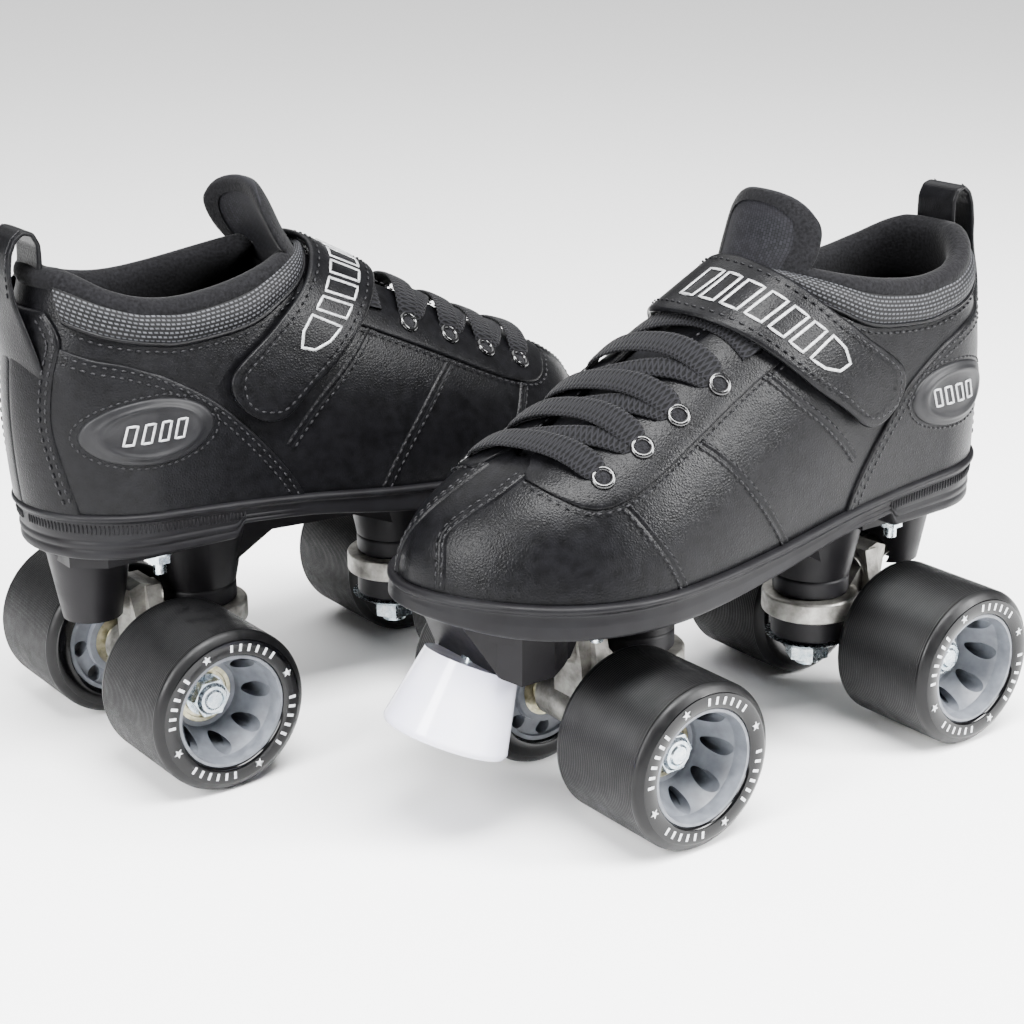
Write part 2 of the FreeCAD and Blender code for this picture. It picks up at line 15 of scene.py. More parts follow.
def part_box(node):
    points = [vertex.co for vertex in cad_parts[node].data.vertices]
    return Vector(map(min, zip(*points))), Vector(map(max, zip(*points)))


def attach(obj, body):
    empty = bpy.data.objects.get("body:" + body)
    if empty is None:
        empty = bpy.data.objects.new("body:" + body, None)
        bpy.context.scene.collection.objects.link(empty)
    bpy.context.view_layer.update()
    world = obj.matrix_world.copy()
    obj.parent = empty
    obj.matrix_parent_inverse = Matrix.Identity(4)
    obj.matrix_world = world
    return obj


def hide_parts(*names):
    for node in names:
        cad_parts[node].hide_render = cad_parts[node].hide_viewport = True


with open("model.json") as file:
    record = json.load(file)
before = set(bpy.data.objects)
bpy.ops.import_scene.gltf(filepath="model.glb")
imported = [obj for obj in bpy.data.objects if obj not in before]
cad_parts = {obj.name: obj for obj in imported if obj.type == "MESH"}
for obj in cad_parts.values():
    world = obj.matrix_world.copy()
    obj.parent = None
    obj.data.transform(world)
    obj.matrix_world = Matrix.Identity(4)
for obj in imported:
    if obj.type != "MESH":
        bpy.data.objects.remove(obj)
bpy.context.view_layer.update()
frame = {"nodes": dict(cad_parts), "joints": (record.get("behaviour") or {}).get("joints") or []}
joints = {j["name"]: j for j in frame["joints"]}
SIDES = ("left", "right")

# ---- Camera --------------------------------------------------------------------------
# A 72 mm lens from about 0.83 m, a little above the boots, looking down on the outer side
# of the left skate. The row's X runs along the skates, so the camera looks across it.
CAMERA_AT = (-0.4562, -0.5983, 0.3457)
CAMERA_LOOKS = math.radians(-37.5)          # heading, from +Y towards -X
CAMERA_DOWN = math.radians(19.245)


def show(thing):
    """Puts an object into the scene."""
    bpy.context.scene.collection.objects.link(thing)



camera = bpy.data.objects.new("camera", bpy.data.cameras.new("camera"))
camera.data.lens = 72.13
camera.data.sensor_width = 36.0
camera.data.clip_start = 0.05
camera.rotation_euler = (math.pi / 2 - CAMERA_DOWN, 0, CAMERA_LOOKS)
camera.location = CAMERA_AT
show(camera)
bpy.context.scene.camera = camera

# ---- Metal and moulded hardware --------------------------------------------------------
# The CAD pieces that stay as they are: cast hangers, plated steel, bearings, nylon plate,
# rubber cushions and the toe stop. Each takes the finish of how it was made: a node tree
# on one Principled shader, whose patterns have real sizes in millimetres.
MM = 0.001


def colour(value):
    """An sRGB hex value as linear red, green, blue and alpha."""
    parts = [int(value[i:i + 2], 16) / 255 for i in (0, 2, 4)]
    return tuple(c / 12.92 if c <= 0.04045 else ((c + 0.055) / 1.055) ** 2.4 for c in parts) + (1.0,)


def add(tree, kind, inputs=(), **settings):
    """Adds a node; inputs are (socket, value or another node's output) pairs."""
    made = tree.nodes.new(kind)
    for key, value in settings.items():
        setattr(made, key, value)
    for socket, value in inputs:
        if isinstance(value, bpy.types.NodeSocket):
            tree.links.new(value, made.inputs[socket])
        else:
            made.inputs[socket].default_value = value
    return made


def finish(name, base, rough, metal=0.0, **fixed):
    """A new material, its tree, its shader and its Object coordinates."""
    made = bpy.data.materials.new(name)
    made.use_nodes = True
    tree = made.node_tree
    shader = tree.nodes["Principled BSDF"]
    shader.inputs["Base Color"].default_value = colour(base)
    shader.inputs["Roughness"].default_value = rough
    shader.inputs["Metallic"].default_value = metal
    for socket, value in fixed.items():
        shader.inputs[socket.replace("_", " ")].default_value = value
    where = add(tree, "ShaderNodeTexCoord")
    return made, tree, shader, where.outputs["Object"]


def vary(tree, shader, socket, pattern, low, high, span=(0.3, 0.7)):
    """Drives a shader value or colour between low and high by a pattern."""
    if isinstance(low, str):
        ramp = add(tree, "ShaderNodeValToRGB", [("Fac", pattern)])
        ramp.color_ramp.elements[0].position, ramp.color_ramp.elements[1].position = span
        ramp.color_ramp.elements[0].color = colour(low)
        ramp.color_ramp.elements[1].color = colour(high)
        tree.links.new(ramp.outputs["Color"], shader.inputs[socket])
    else:
        ramp = add(tree, "ShaderNodeMapRange", [("Value", pattern), ("From Min", span[0]),
                                                ("From Max", span[1]), ("To Min", low),
                                                ("To Max", high)])
        tree.links.new(ramp.outputs["Result"], shader.inputs[socket])


def emboss(tree, shader, height, depth, strength=1.0, under=None):
    """Bump from a height pattern, depth in metres, over another bump if there is one."""
    inputs = [("Height", height), ("Distance", depth), ("Strength", strength)]
    if under:
        inputs.append(("Normal", under))
    bump = add(tree, "ShaderNodeBump", inputs)
    tree.links.new(bump.outputs["Normal"], shader.inputs["Normal"])
    return bump.outputs["Normal"]


def noise(tree, where, size, detail=3.0):
    """Cloudy noise of a size in metres."""
    made = add(tree, "ShaderNodeTexNoise", [("Vector", where), ("Scale", 1 / size),
                                            ("Detail", detail)])
    return made.outputs["Fac"]


def cells(tree, where, size):
    """Distance to the edges of cells of a size in metres."""
    made = add(tree, "ShaderNodeTexVoronoi", [("Vector", where), ("Scale", 1 / size)],
               feature="DISTANCE_TO_EDGE")
    return made.outputs["Distance"]


def cast_aluminium():
    """Sand-tumbled aluminium casting: dull grey, grainy, with brighter rubbed spots."""
    made, tree, shader, where = finish("cast_aluminium", "9a9893", 0.46, 0.85)
    grain = noise(tree, where, 0.9 * MM, 4)
    vary(tree, shader, "Base Color", noise(tree, where, 6 * MM), "6f6d69", "b5b3ad")
    vary(tree, shader, "Roughness", grain, 0.36, 0.6)
    emboss(tree, shader, grain, 0.25 * MM, 0.6)
    return made


def zinc_steel():
    """Bright zinc plate: cool, shiny, faintly mottled, over machined steel."""
    made, tree, shader, where = finish("zinc_steel", "c9d2d8", 0.22, 1.0)
    vary(tree, shader, "Base Color", noise(tree, where, 2.5 * MM), "9fb0ba", "e3e8ea")
    vary(tree, shader, "Roughness", noise(tree, where, 1.2 * MM), 0.14, 0.34)
    emboss(tree, shader, noise(tree, where, 0.5 * MM), 0.06 * MM, 0.4)
    return made


def bearing_steel():
    """Ground races under oil: slightly yellow, with fine turned rings."""
    made, tree, shader, where = finish("bearing_steel", "b9b291", 0.28, 1.0)
    vary(tree, shader, "Base Color", noise(tree, where, 3 * MM), "8d876b", "d6d0b4")
    emboss(tree, shader, noise(tree, where, 0.4 * MM), 0.05 * MM, 0.3)
    return made


def core_nylon():
    """Glass-filled grey nylon core: satin, a little streaked from moulding."""
    made, tree, shader, where = finish("core_nylon", "5c5f65", 0.36)
    vary(tree, shader, "Base Color", noise(tree, where, 5 * MM), "53565c", "6b6f76")
    emboss(tree, shader, noise(tree, where, 0.35 * MM), 0.05 * MM, 0.5)
    return made


def plate_nylon():
    """Black nylon plate with a fine moulded texture."""
    made, tree, shader, where = finish("plate_nylon", "0f0e10", 0.4, Specular_IOR_Level=0.13)
    vary(tree, shader, "Roughness", noise(tree, where, 8 * MM), 0.36, 0.5)
    emboss(tree, shader, noise(tree, where, 0.5 * MM, 2), 0.06 * MM, 0.5)
    return made


def cushion_rubber():
    """Moulded black rubber, matt, with a bloom of lighter dust."""
    made, tree, shader, where = finish("cushion_rubber", "0f0e10", 0.5, Specular_IOR_Level=0.2)
    vary(tree, shader, "Base Color", noise(tree, where, 7 * MM), "0b0a0c", "171619")
    emboss(tree, shader, noise(tree, where, 0.6 * MM), 0.05 * MM, 0.4)
    return made


def stop_rubber():
    """Glossy white moulded rubber with a cool tint and faint scuffs."""
    made, tree, shader, where = finish("stop_rubber", "e6e6f6", 0.2, Coat_Weight=0.5,
                                       Coat_Roughness=0.08, Subsurface_Weight=0.15)
    shader.inputs["Subsurface Radius"].default_value = (0.004, 0.004, 0.005)
    vary(tree, shader, "Base Color", noise(tree, where, 20 * MM, 2), "dedef2", "ececf8")
    vary(tree, shader, "Roughness", noise(tree, where, 6 * MM), 0.14, 0.26)
    emboss(tree, shader, noise(tree, where, 9 * MM, 1), 0.08 * MM, 0.3)
    return made


HARDWARE = {"hanger": cast_aluminium(), "axle": zinc_steel(), "bearings": bearing_steel(),
            "hub": core_nylon(), "plate": plate_nylon(), "cushions": cushion_rubber(),
            "toe_stop": stop_rubber()}
HARDWARE["kingpins"] = HARDWARE["fasteners"] = HARDWARE["axle"]
HARDWARE["pivot_cups"] = HARDWARE["cushions"]
for node_name, node in frame["nodes"].items():
    for ending, material in HARDWARE.items():
        if node_name.endswith("_" + ending):
            node.data.materials.clear()
            node.data.materials.append(material)


# ---- Placing a piece on both skates ----------------------------------------------------
# The middle of a skate is the mean of its four wheel joints. The left skate is turned to
# face -X, and the right one is its mirror image, which turns faces inside out.
def skate_matrix(side):
    spins = [j["pos_m"] for n, j in joints.items()
             if n.startswith(side) and n.endswith("wheel_spin")]
    x, y = (sum(p[i] for p in spins) / len(spins) for i in (0, 1))
    way = Matrix.Scale(-1, 4, (1, 0, 0)) @ Matrix.Scale(-1, 4, (0, 1, 0))
    if side == "right":
        way = Matrix.Scale(-1, 4, (0, 1, 0))
    return Matrix.Translation((x, y, 0)) @ way @ Matrix.Scale(MM, 4)


def place(shape, name, materials, body="boot", stands_for=(), smooth=True):
    """Makes the piece of a bmesh in skate millimetres, on the left and on the right."""
    made = {}
    for side in SIDES:
        mesh = bpy.data.meshes.new(f"{side}_{name}")
        shape.to_mesh(mesh)
        mesh.transform(skate_matrix(side))
        if side == "right":
            mesh.flip_normals()
        for face in mesh.polygons:
            face.use_smooth = smooth
        for material in materials:
            mesh.materials.append(material)
        piece = bpy.data.objects.new(f"{side}_{name}", mesh)
        show(piece)
        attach(piece, f"{side}_{body}")
        if stands_for:
            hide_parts(*[f"{side}_{node}" for node in stands_for])
        made[side] = piece
    shape.free()
    return made


def modify(pieces, kind, **settings):
    """Adds a live modifier to the piece on both skates."""
    for piece in pieces.values():
        modifier = piece.modifiers.new(kind.lower(), kind)
        for key, value in settings.items():
            setattr(modifier, key, value)


def soften(pieces):
    """Rounds the piece by one level of subdivision."""
    modify(pieces, "SUBSURF", levels=1, render_levels=1)


# ---- The last -----------------------------------------------------------------------
# The boot is pulled over a last, given here by stations from toe to heel: x, centre y,
# half-width, top and squareness of the arch. Round the heel the arch is swept by a half
# turn. A girth q is x as far as the heel's start, and then goes on round the heel.
LAST = [(141.5, -6.5, 0.0, 100.0, 2.1), (139.5, -6.0, 9.5, 106.0, 2.1),
        (134.5, -5.0, 21.0, 113.5, 2.1),
        (126.0, -3.0, 31.0, 121.5, 2.15), (112.0, 0.0, 40.0, 130.0, 2.2),
        (95.0, 2.0, 45.5, 136.5, 2.25), (75.0, 2.5, 47.5, 145.0, 2.3),
        (50.0, 2.5, 46.0, 158.0, 2.3), (25.0, 2.0, 43.5, 171.0, 2.35),
        (0.0, 2.0, 40.5, 184.0, 2.5), (-25.0, 2.0, 37.5, 196.0, 2.8),
        (-50.0, 1.5, 36.0, 205.0, 3.1), (-75.0, 1.0, 35.5, 210.0, 3.2),
        (-100.0, 0.5, 35.0, 212.0, 3.2)]
BASE_Z = 78.0
HEEL_X = -75.0
HEEL_GIRTH = 60.0
BACK = [(70, 36), (92, 37.5), (104, 38.8), (120, 40.2), (140, 40.6), (160, 39.0), (175, 36.0),
        (190, 32.0), (215, 30.0)]
SOLE_TOP = [(-140, 104.5), (-95, 103), (-60, 101), (-20, 98), (20, 94), (60, 92), (100, 92.5),
            (140, 94), (160, 95)]
COLLAR = [(-125, 190), (-106, 184.5), (-90, 178), (-70, 173.5), (-50, 174.5), (-28, 179),
          (-8, 185.5), (8, 191), (40, 206)]
TOE_Q, HEEL_Q = 141.5, HEEL_X - HEEL_GIRTH
VAMP_X, ROUND_TOE_X = 112.0, 126.0
TIP_ROUND, TIP_TAPER = 9.102, 0.312         # half-width round the toe: root and straight part
HEEL_ROUND, HEEL_DEPTH = 0.92, 40.0


def curve_at(points, x):
    """Smooth height of a curve through (x, z) points, by a cubic between neighbours."""
    xs = [p[0] for p in points]
    k = min(max(bisect.bisect_right(xs, x) - 1, 0), len(xs) - 2)
    before, start, end, after = (points[min(max(i, 0), len(xs) - 1)] for i in range(k - 1, k + 3))
    f = min(max((x - start[0]) / (end[0] - start[0]), 0), 1)
    width = end[0] - start[0]
    rise0 = (end[1] - before[1]) / max(end[0] - before[0], 1e-6) * width
    rise1 = (after[1] - start[1]) / max(after[0] - start[0], 1e-6) * width
    h = (2 * f ** 3 - 3 * f ** 2 + 1, f ** 3 - 2 * f ** 2 + f, 3 * f ** 2 - 2 * f ** 3, f ** 3 - f ** 2)
    return h[0] * start[1] + h[1] * rise0 + h[2] * end[1] + h[3] * rise1


LAST_BY_X = [[(row[0], row[i]) for row in reversed(LAST)] for i in range(5)]


def station(x):
    """Centre y, half-width, top and squareness of the last at x."""
    yc, half, top, square = (curve_at(LAST_BY_X[i], x) for i in (1, 2, 3, 4))
    if x > ROUND_TOE_X:
        tip = max(TOE_Q - x, 0.0)
        half = TIP_ROUND * math.sqrt(tip) - TIP_TAPER * tip
    return yc, max(half, 0.02), top, square


def power(value, exponent):
    """A signed power."""
    return math.copysign(abs(value) ** exponent, value)


def bare(q, a):
    """A point of the last at girth q and arch angle a: 0 outer base, pi inner base."""
    x = max(q, HEEL_X)
    yc, half, top, n = station(x)
    across = half * power(math.cos(a), 2 / n)
    z = BASE_Z + (top - BASE_Z) * abs(math.sin(a)) ** (2 / n)
    if q >= HEEL_X:
        return Vector((x, yc + across, z))
    turn = (HEEL_X - q) / HEEL_GIRTH * math.pi / 2
    depth = curve_at(BACK, z)
    swing = math.sin(turn) ** HEEL_ROUND
    return Vector((HEEL_X - depth * swing, (yc + across) * math.cos(turn), z))


def skin(q, a, rise=0.0):
    """A point rise millimetres outside the last, and the direction outwards there."""
    step = 0.6
    q = min(max(q, HEEL_Q + 0.01), TOE_Q)
    along = bare(min(q + step, TOE_Q), a) - bare(q - step, a)
    over = bare(q, a + 0.012) - bare(q, a - 0.012)
    out = along.cross(over)
    spot = bare(q, a)
    middle = Vector((min(spot.x, VAMP_X) if q > 0 else max(spot.x, HEEL_X), 0, 120.0))
    if out.length < 1e-9:
        out = spot - middle
    out.normalize()
    if out.dot(spot - middle) < 0:
        out = -out
    return spot + out * rise, out


def angle_at(x, z, side=1):
    """Arch angle where the last's outer (side 1) or inner surface is z high."""
    _, _, top, n = station(max(x, HEEL_X))
    t = min(max((z - BASE_Z) / (top - BASE_Z), 0.0), 1.0)
    a = math.asin(t ** (n / 2))
    return a if side > 0 else math.pi - a


def angle_across(x, y):
    """Arch angle where the surface over x is y from the centre plane."""
    yc, half, _, n = station(x)
    c = max(min((y - yc) / half, 1.0), -1.0)
    return math.acos(power(c, n / 2))


def x_of(q):
    """The x that a girth q reaches."""
    if q >= HEEL_X:
        return q
    turn = (HEEL_X - q) / HEEL_GIRTH * math.pi / 2
    return HEEL_X - HEEL_DEPTH * math.sin(turn)


def mapped_grid(columns, rows, place_at):
    """A grid whose corner-to-corner fractions (u, v) are sent to points by place_at."""
    shape = bmesh.new()
    uv = shape.loops.layers.uv.new("UVMap")
    bmesh.ops.create_grid(shape, x_segments=columns, y_segments=rows, size=0.5)
    for face in shape.faces:
        for loop in face.loops:
            loop[uv].uv = (loop.vert.co.x + 0.5, loop.vert.co.y + 0.5)
    for vert in shape.verts:
        vert.co = place_at(min(max(vert.co.x + 0.5, 0), 1), min(max(vert.co.y + 0.5, 0), 1))
    return shape


def joined(shapes):
    """One bmesh of several."""
    whole = shapes[0]
    for other in shapes[1:]:
        mesh = bpy.data.meshes.new("joining")
        other.to_mesh(mesh)
        whole.from_mesh(mesh)
        bpy.data.meshes.remove(mesh)
        other.free()
    return whole


def outwards(shape):
    """Merges doubles and turns every face outwards."""
    bmesh.ops.remove_doubles(shape, verts=shape.verts, dist=0.06)
    bmesh.ops.recalc_face_normals(shape, faces=shape.faces)
    return shape


# ---- Boot leather and lining ---------------------------------------------------------
# Black full-grain leather, corrected and printed with a fine pebble: a soft sheen broken
# by grain under a millimetre across, and slightly greyer where it is stretched. Inside,
# a brushed polyester lining.
def boot_leather():
    made, tree, shader, where = finish("boot_leather", "0a0a0b", 0.3, Specular_IOR_Level=0.1)
    grain = cells(tree, where, 1.1 * MM)
    creases = noise(tree, where, 3.5 * MM, 3)
    vary(tree, shader, "Base Color", creases, "070708", "0e0e10")
    vary(tree, shader, "Roughness", noise(tree, where, 14 * MM), 0.28, 0.38)
    first = emboss(tree, shader, grain, 0.17 * MM, 0.8)
    emboss(tree, shader, creases, 0.3 * MM, 0.25, first)
    return made


def lining_textile():
    made, tree, shader, where = finish("lining_textile", "0d0d0f", 0.95, Specular_IOR_Level=0.08,
                                       Sheen_Weight=0.08, Sheen_Roughness=0.5)
    fleece = noise(tree, where, 0.8 * MM, 6)
    vary(tree, shader, "Base Color", fleece, "060607", "1a1a1d")
    emboss(tree, shader, fleece, 0.6 * MM, 0.9)
    return made


leather, lining = boot_leather(), lining_textile()

# ---- Lines, strips and stitches on the last ---------------------------------------------
# A seam is a line of (q, a) pairs on the last. Panels, raised strips and rows of stitches
# all follow such lines, so a seam and its stitches always agree.
def on_side(x, z, side=1):
    """The (q, a) of the last's outer (side 1) or inner (-1) wall at x and height z."""
    if x >= HEEL_X:
        return x, angle_at(x, z, side)
    swing = min((HEEL_X - x) / curve_at(BACK, z), 1.0)
    turn = math.asin(swing ** (1 / HEEL_ROUND))
    return HEEL_X - HEEL_GIRTH * turn / (math.pi / 2), angle_at(HEEL_X, z, side)


def on_top(x, y):
    return x, angle_across(x, y)


def smooth_line(points, steps=12):
    """A smooth line through the given pairs, by a cubic between neighbours."""
    line = []
    for k in range(len(points) - 1):
        near = [points[min(max(i, 0), len(points) - 1)] for i in range(k - 1, k + 3)]
        for t in (i / steps for i in range(steps)):
            w = ((-t + 2 * t * t - t ** 3) / 2, (2 - 5 * t * t + 3 * t ** 3) / 2,
                 (t + 4 * t * t - 3 * t ** 3) / 2, (t ** 3 - t * t) / 2)
            line.append(tuple(sum(c * p[j] for c, p in zip(w, near)) for j in (0, 1)))
    return line + [points[-1]]


def even_line(points, gap, closed=False):
    """The smooth line through pairs, as pairs that lie gap millimetres apart."""
    line = smooth_line(list(points) + ([points[0]] if closed else []))
    spots = [bare(*pair) for pair in line]
    far = [0.0]
    for a, b in zip(spots, spots[1:]):
        far.append(far[-1] + (b - a).length)
    count = max(2, round(far[-1] / gap))
    out = []
    for i in range(count + 1):
        want = far[-1] * i / count
        k = min(max(bisect.bisect_right(far, want) - 1, 0), len(line) - 2)
        f = (want - far[k]) / max(far[k + 1] - far[k], 1e-9)
        out.append(tuple(line[k][j] + (line[k + 1][j] - line[k][j]) * f for j in (0, 1)))
    return out


def bead(shape, spot, along, out, length, width, height):
    """Adds one stitch: a long bead half sunk in the leather."""
    along = along.normalized()
    across = along.cross(out).normalized()
    turn = Matrix((along * length / 2, across * width / 2, out * height / 2)).transposed()
    bmesh.ops.create_icosphere(shape, subdivisions=1, radius=1.0,
                               matrix=Matrix.Translation(spot) @ turn.to_4x4())


def stitch(shape, points, rise=0.3, aside=0.0, gap=3.3, closed=False):
    """Adds a row of stitches along pairs, aside millimetres to one side of the line."""
    line = even_line(points, gap, closed)
    for k in range(len(line) - 1):
        middle = tuple((line[k][j] + line[k + 1][j]) / 2 for j in (0, 1))
        spot, out = skin(*middle, rise)
        along = bare(*line[k + 1]) - bare(*line[k])
        if along.length > 0.3:
            spot = spot + along.cross(out).normalized() * aside
            bead(shape, spot, along, out, gap * 0.72, 0.85, 0.8)


def strip(points, half, heights, gap=2.5):
    """A raised strip along pairs: heights are its rises from one edge to the other."""
    line = even_line(points, gap)
    spots = [skin(*pair) for pair in line]
    n, m = len(spots) - 1, len(heights) - 1

    def at(u, v):
        i, k = round(u * n), round(v * m)
        spot, out = spots[i]
        ahead = spots[min(i + 1, n)][0] - spots[max(i - 1, 0)][0]
        return spot + ahead.cross(out).normalized() * half * (2 * k / m - 1) + out * heights[k]
    return mapped_grid(n, m, at)


def rim(k, n):
    """Where row k of n lies, 0 to 1, and how far it has risen: the edges are turned down."""
    steps = {0: (0.0, 0.0), 1: (0.0, 0.8), 2: (0.03, 1.0)}
    if k in steps:
        return steps[k]
    if n - k in steps:
        where, high = steps[n - k]
        return 1 - where, high
    return 0.03 + 0.94 * (k - 2) / (n - 4), 1.0


def panel(low, high, rise, columns=56, rows=14, base=-0.4):
    """A panel of leather laid on the last, between two edges given as pairs at 0 to 1."""
    def at(u, v):
        s, high_u = rim(round(u * columns), columns)
        t, high_v = rim(round(v * rows), rows)
        first, last = low(s), high(s)
        q, a = (first[j] + (last[j] - first[j]) * t for j in (0, 1))
        return skin(q, a, base + (rise - base) * min(high_u, high_v))[0]
    return mapped_grid(columns, rows, at)


def along(points):
    """A function of 0 to 1 along the smooth line through pairs."""
    line = even_line(points, 1.5)

    def at(s):
        k = min(int(s * (len(line) - 1)), len(line) - 2)
        f = s * (len(line) - 1) - k
        return tuple(line[k][j] + (line[k + 1][j] - line[k][j]) * f for j in (0, 1))
    return at


def sewn(shapes, name, material=leather):
    """Places a softened piece, made of several shapes, that is sewn to the boot."""
    soften(place(outwards(joined(shapes)), name, [material]))


# ---- Upper ----------------------------------------------------------------------------
# The vamp and quarters, lasted from cut leather: open at the throat under the laces, at
# the collar, and tucked into the sole at its foot.
THROAT_FRONT, THROAT_BACK, COLLAR_FRONT = 101.0, 10.0, -13.0
TOE_SHARE = 0.16
SLIT = {1: [(10, 15.0), (60, 11.0), (101, 8.5)], -1: [(10, 14.0), (60, 10.0), (101, 6.5)]}


def throat_angle(q, side):
    """Arch angle of the throat's edge."""
    slit = curve_at(SLIT[side], q) * min(1.0, ((THROAT_FRONT - q) / 5.0) ** 0.5)
    return angle_across(q, station(q)[0] + side * slit)


def top_angle(q, side):
    """Arch angle of the upper's top edge at girth q."""
    x = x_of(q)
    if q >= THROAT_FRONT:
        return math.pi / 2
    if q > THROAT_BACK:
        return throat_angle(q, side)
    edge = angle_at(x, curve_at(COLLAR, x), side)
    if q > COLLAR_FRONT:
        f = (THROAT_BACK - q) / (THROAT_BACK - COLLAR_FRONT)
        f = f * f * (3 - 2 * f)
        slit = throat_angle(THROAT_BACK, side)
        return slit + (edge - slit) * f
    return edge


def girth(u):
    """Girth from toe tip (0) to heel back (1), closer together round the toe."""
    if u < TOE_SHARE:
        return TOE_Q - (TOE_Q - VAMP_X) * (u / TOE_SHARE) ** 2
    return VAMP_X + (HEEL_Q - VAMP_X) * (u - TOE_SHARE) / (1 - TOE_SHARE)


def half_upper(side):
    def at(u, v):
        q = girth(u)
        low = angle_at(q, curve_at(SOLE_TOP, x_of(q)) - 2.5, side)
        return skin(q, low + (top_angle(q, side) - low) * v)[0]
    return mapped_grid(130, 30, at)


upper = place(outwards(joined([half_upper(1), half_upper(-1)])), "boot_upper", [leather, lining],
              stands_for=["upper"])
modify(upper, "SOLIDIFY", thickness=2.2 * MM, offset=-1.0, material_offset=1,
       material_offset_rim=0)
soften(upper)


# ---- Thread ----------------------------------------------------------------------------
# Bonded black nylon thread, a little shinier than the leather, so the stitches catch light.
def thread_black():
    made, tree, shader, where = finish("thread_black", "0c0c0e", 0.42, Specular_IOR_Level=0.25)
    vary(tree, shader, "Base Color", noise(tree, where, 0.7 * MM), "08080a", "18181b")
    emboss(tree, shader, noise(tree, where, 0.25 * MM), 0.08 * MM, 0.6)
    return made


thread = thread_black()
stitches = bmesh.new()

# ---- Eyestay ---------------------------------------------------------------------------
# The reinforced facing on both sides of the throat. Its seam runs under the eyelets and
# turns up in a round nose at the front.
EYESTAY_SEAM = {
    1: [(8, 32), (18, 32.5), (34, 34), (50, 36), (62, 37.5), (77, 38.5), (88, 37.5), (95, 35),
        (101, 30), (106, 22), (108.5, 14)],
    -1: [(8, -28), (30, -31), (60, -34), (82, -35), (97, -33), (106, -27), (111, -19), (113, -9)]}
eyestays = []
for side, seam in EYESTAY_SEAM.items():
    line = [on_top(x, y) for x, y in seam]
    edge = [(q, throat_angle(q, side)) for q in (8, 20, 35, 50, 65, 80, 92, 99)]
    nose = [on_top(*pair) for pair in (((104.5, 11.5), (107.5, 12.5)) if side > 0 else
                                       ((106, -4.5), (111.5, -6)))]
    eyestays.append(panel(along(line), along(edge + nose), 1.1, 90, 16))
    stitch(stitches, line, 1.15, aside=-1.6 * side)
    stitch(stitches, edge[:-1], 1.15, aside=2.2 * side)
sewn(eyestays, "boot_eyestay")

# ---- Seams -----------------------------------------------------------------------------
# The toe's centre strip is joined to the vamp by two raised seams, and three double seams
# slope down each side. Each is a lapped ridge between two rows of stitches.
TOE_SEAMS = [[(107.5, 11.8), (118, 10.5), (126, 7), (134, 3)],
             [(110, -5), (118, -6), (127, -9), (134, -14)]]
TOE_ENDS = [[(137, 104), (138.5, 95)], [(137.0, 100), (138.5, 93)]]
SIDE_SEAMS = [[(85, 122), (78, 111), (71, 100), (67, 91)],
              [(50, 136.5), (38, 126), (27, 113), (14, 94)],
              [(17, 155), (4, 144), (-13, 130), (-25, 117)]]
TOE_RIDGE = [-0.3, 0.7, 0.9, 0.25, 0.6, 0.45, -0.3]
SIDE_RIDGE = [-0.3, 0.55, 0.6, -0.05, 0.4, 0.35, -0.3]
ridges = []
for top_part, wall_part in zip(TOE_SEAMS, TOE_ENDS):
    inner = top_part[0][1] < 0
    line = [on_top(x, y) for x, y in top_part]
    line += [(x, angle_at(x, z, -1 if inner else 1)) for x, z in wall_part]
    ridges.append(strip(line, 2.3, TOE_RIDGE))
    stitch(stitches, line, 0.7, aside=-0.7)
    stitch(stitches, line, 0.45, aside=1.5)
for side in (1, -1):
    for seam in SIDE_SEAMS:
        line = [on_side(x, z, side) for x, z in seam]
        ridges.append(strip(line, 2.4, SIDE_RIDGE))
        stitch(stitches, line, 0.5, aside=1.5)
        stitch(stitches, line, 0.35, aside=-1.5)
sewn(ridges, "boot_seams")

# ---- Heel counter and back stay ----------------------------------------------------------
# A stiff outer counter cups the heel, its top edge dipping from the back stay to the sole.
# The back stay runs up the middle of the heel and carries the pull loop.
COUNTER_TOP = [(-110, 166), (-98, 160), (-87, 157), (-71, 150), (-55, 139.5), (-42, 127),
               (-31, 114), (-24, 104), (-19.5, 95)]
BACK_REACH = [(78, 33.5), (150, 33), (190, 27)]
STAY_EDGE = [(101, 23), (108, 22.2), (115, 21), (135, 18), (152, 18.5), (164, 19.5), (171, 17),
             (176, 13)]
counters, stays = [], []
for side in (1, -1):
    line = [on_side(x, z, side) for x, z in COUNTER_TOP]
    foot = [(q, angle_at(q, curve_at(SOLE_TOP, x_of(q)) - 3, side))
            for q in (-120, -90, -60, -35, -19)]
    counters.append(panel(along(foot), along([(HEEL_Q + 4, line[0][1])] + line), 1.2, 90, 24))
    for inset in (2.0, 4.6):
        stitch(stitches, line, 1.25, aside=-inset * side)
    edge = [(HEEL_X - HEEL_GIRTH * math.acos(y / curve_at(BACK_REACH, z)) / (math.pi / 2),
             angle_at(HEEL_X, z, side)) for z, y in STAY_EDGE]
    middle = [(HEEL_Q + 0.02, a) for _, a in edge]
    stays.append(panel(along(edge), along(middle), 2.2, 60, 10))
    for inset in (1.8, 4.4):
        stitch(stitches, edge[1:], 2.25, aside=inset * side)
sewn(counters, "boot_heel_counter")
sewn(stays, "boot_back_stay")


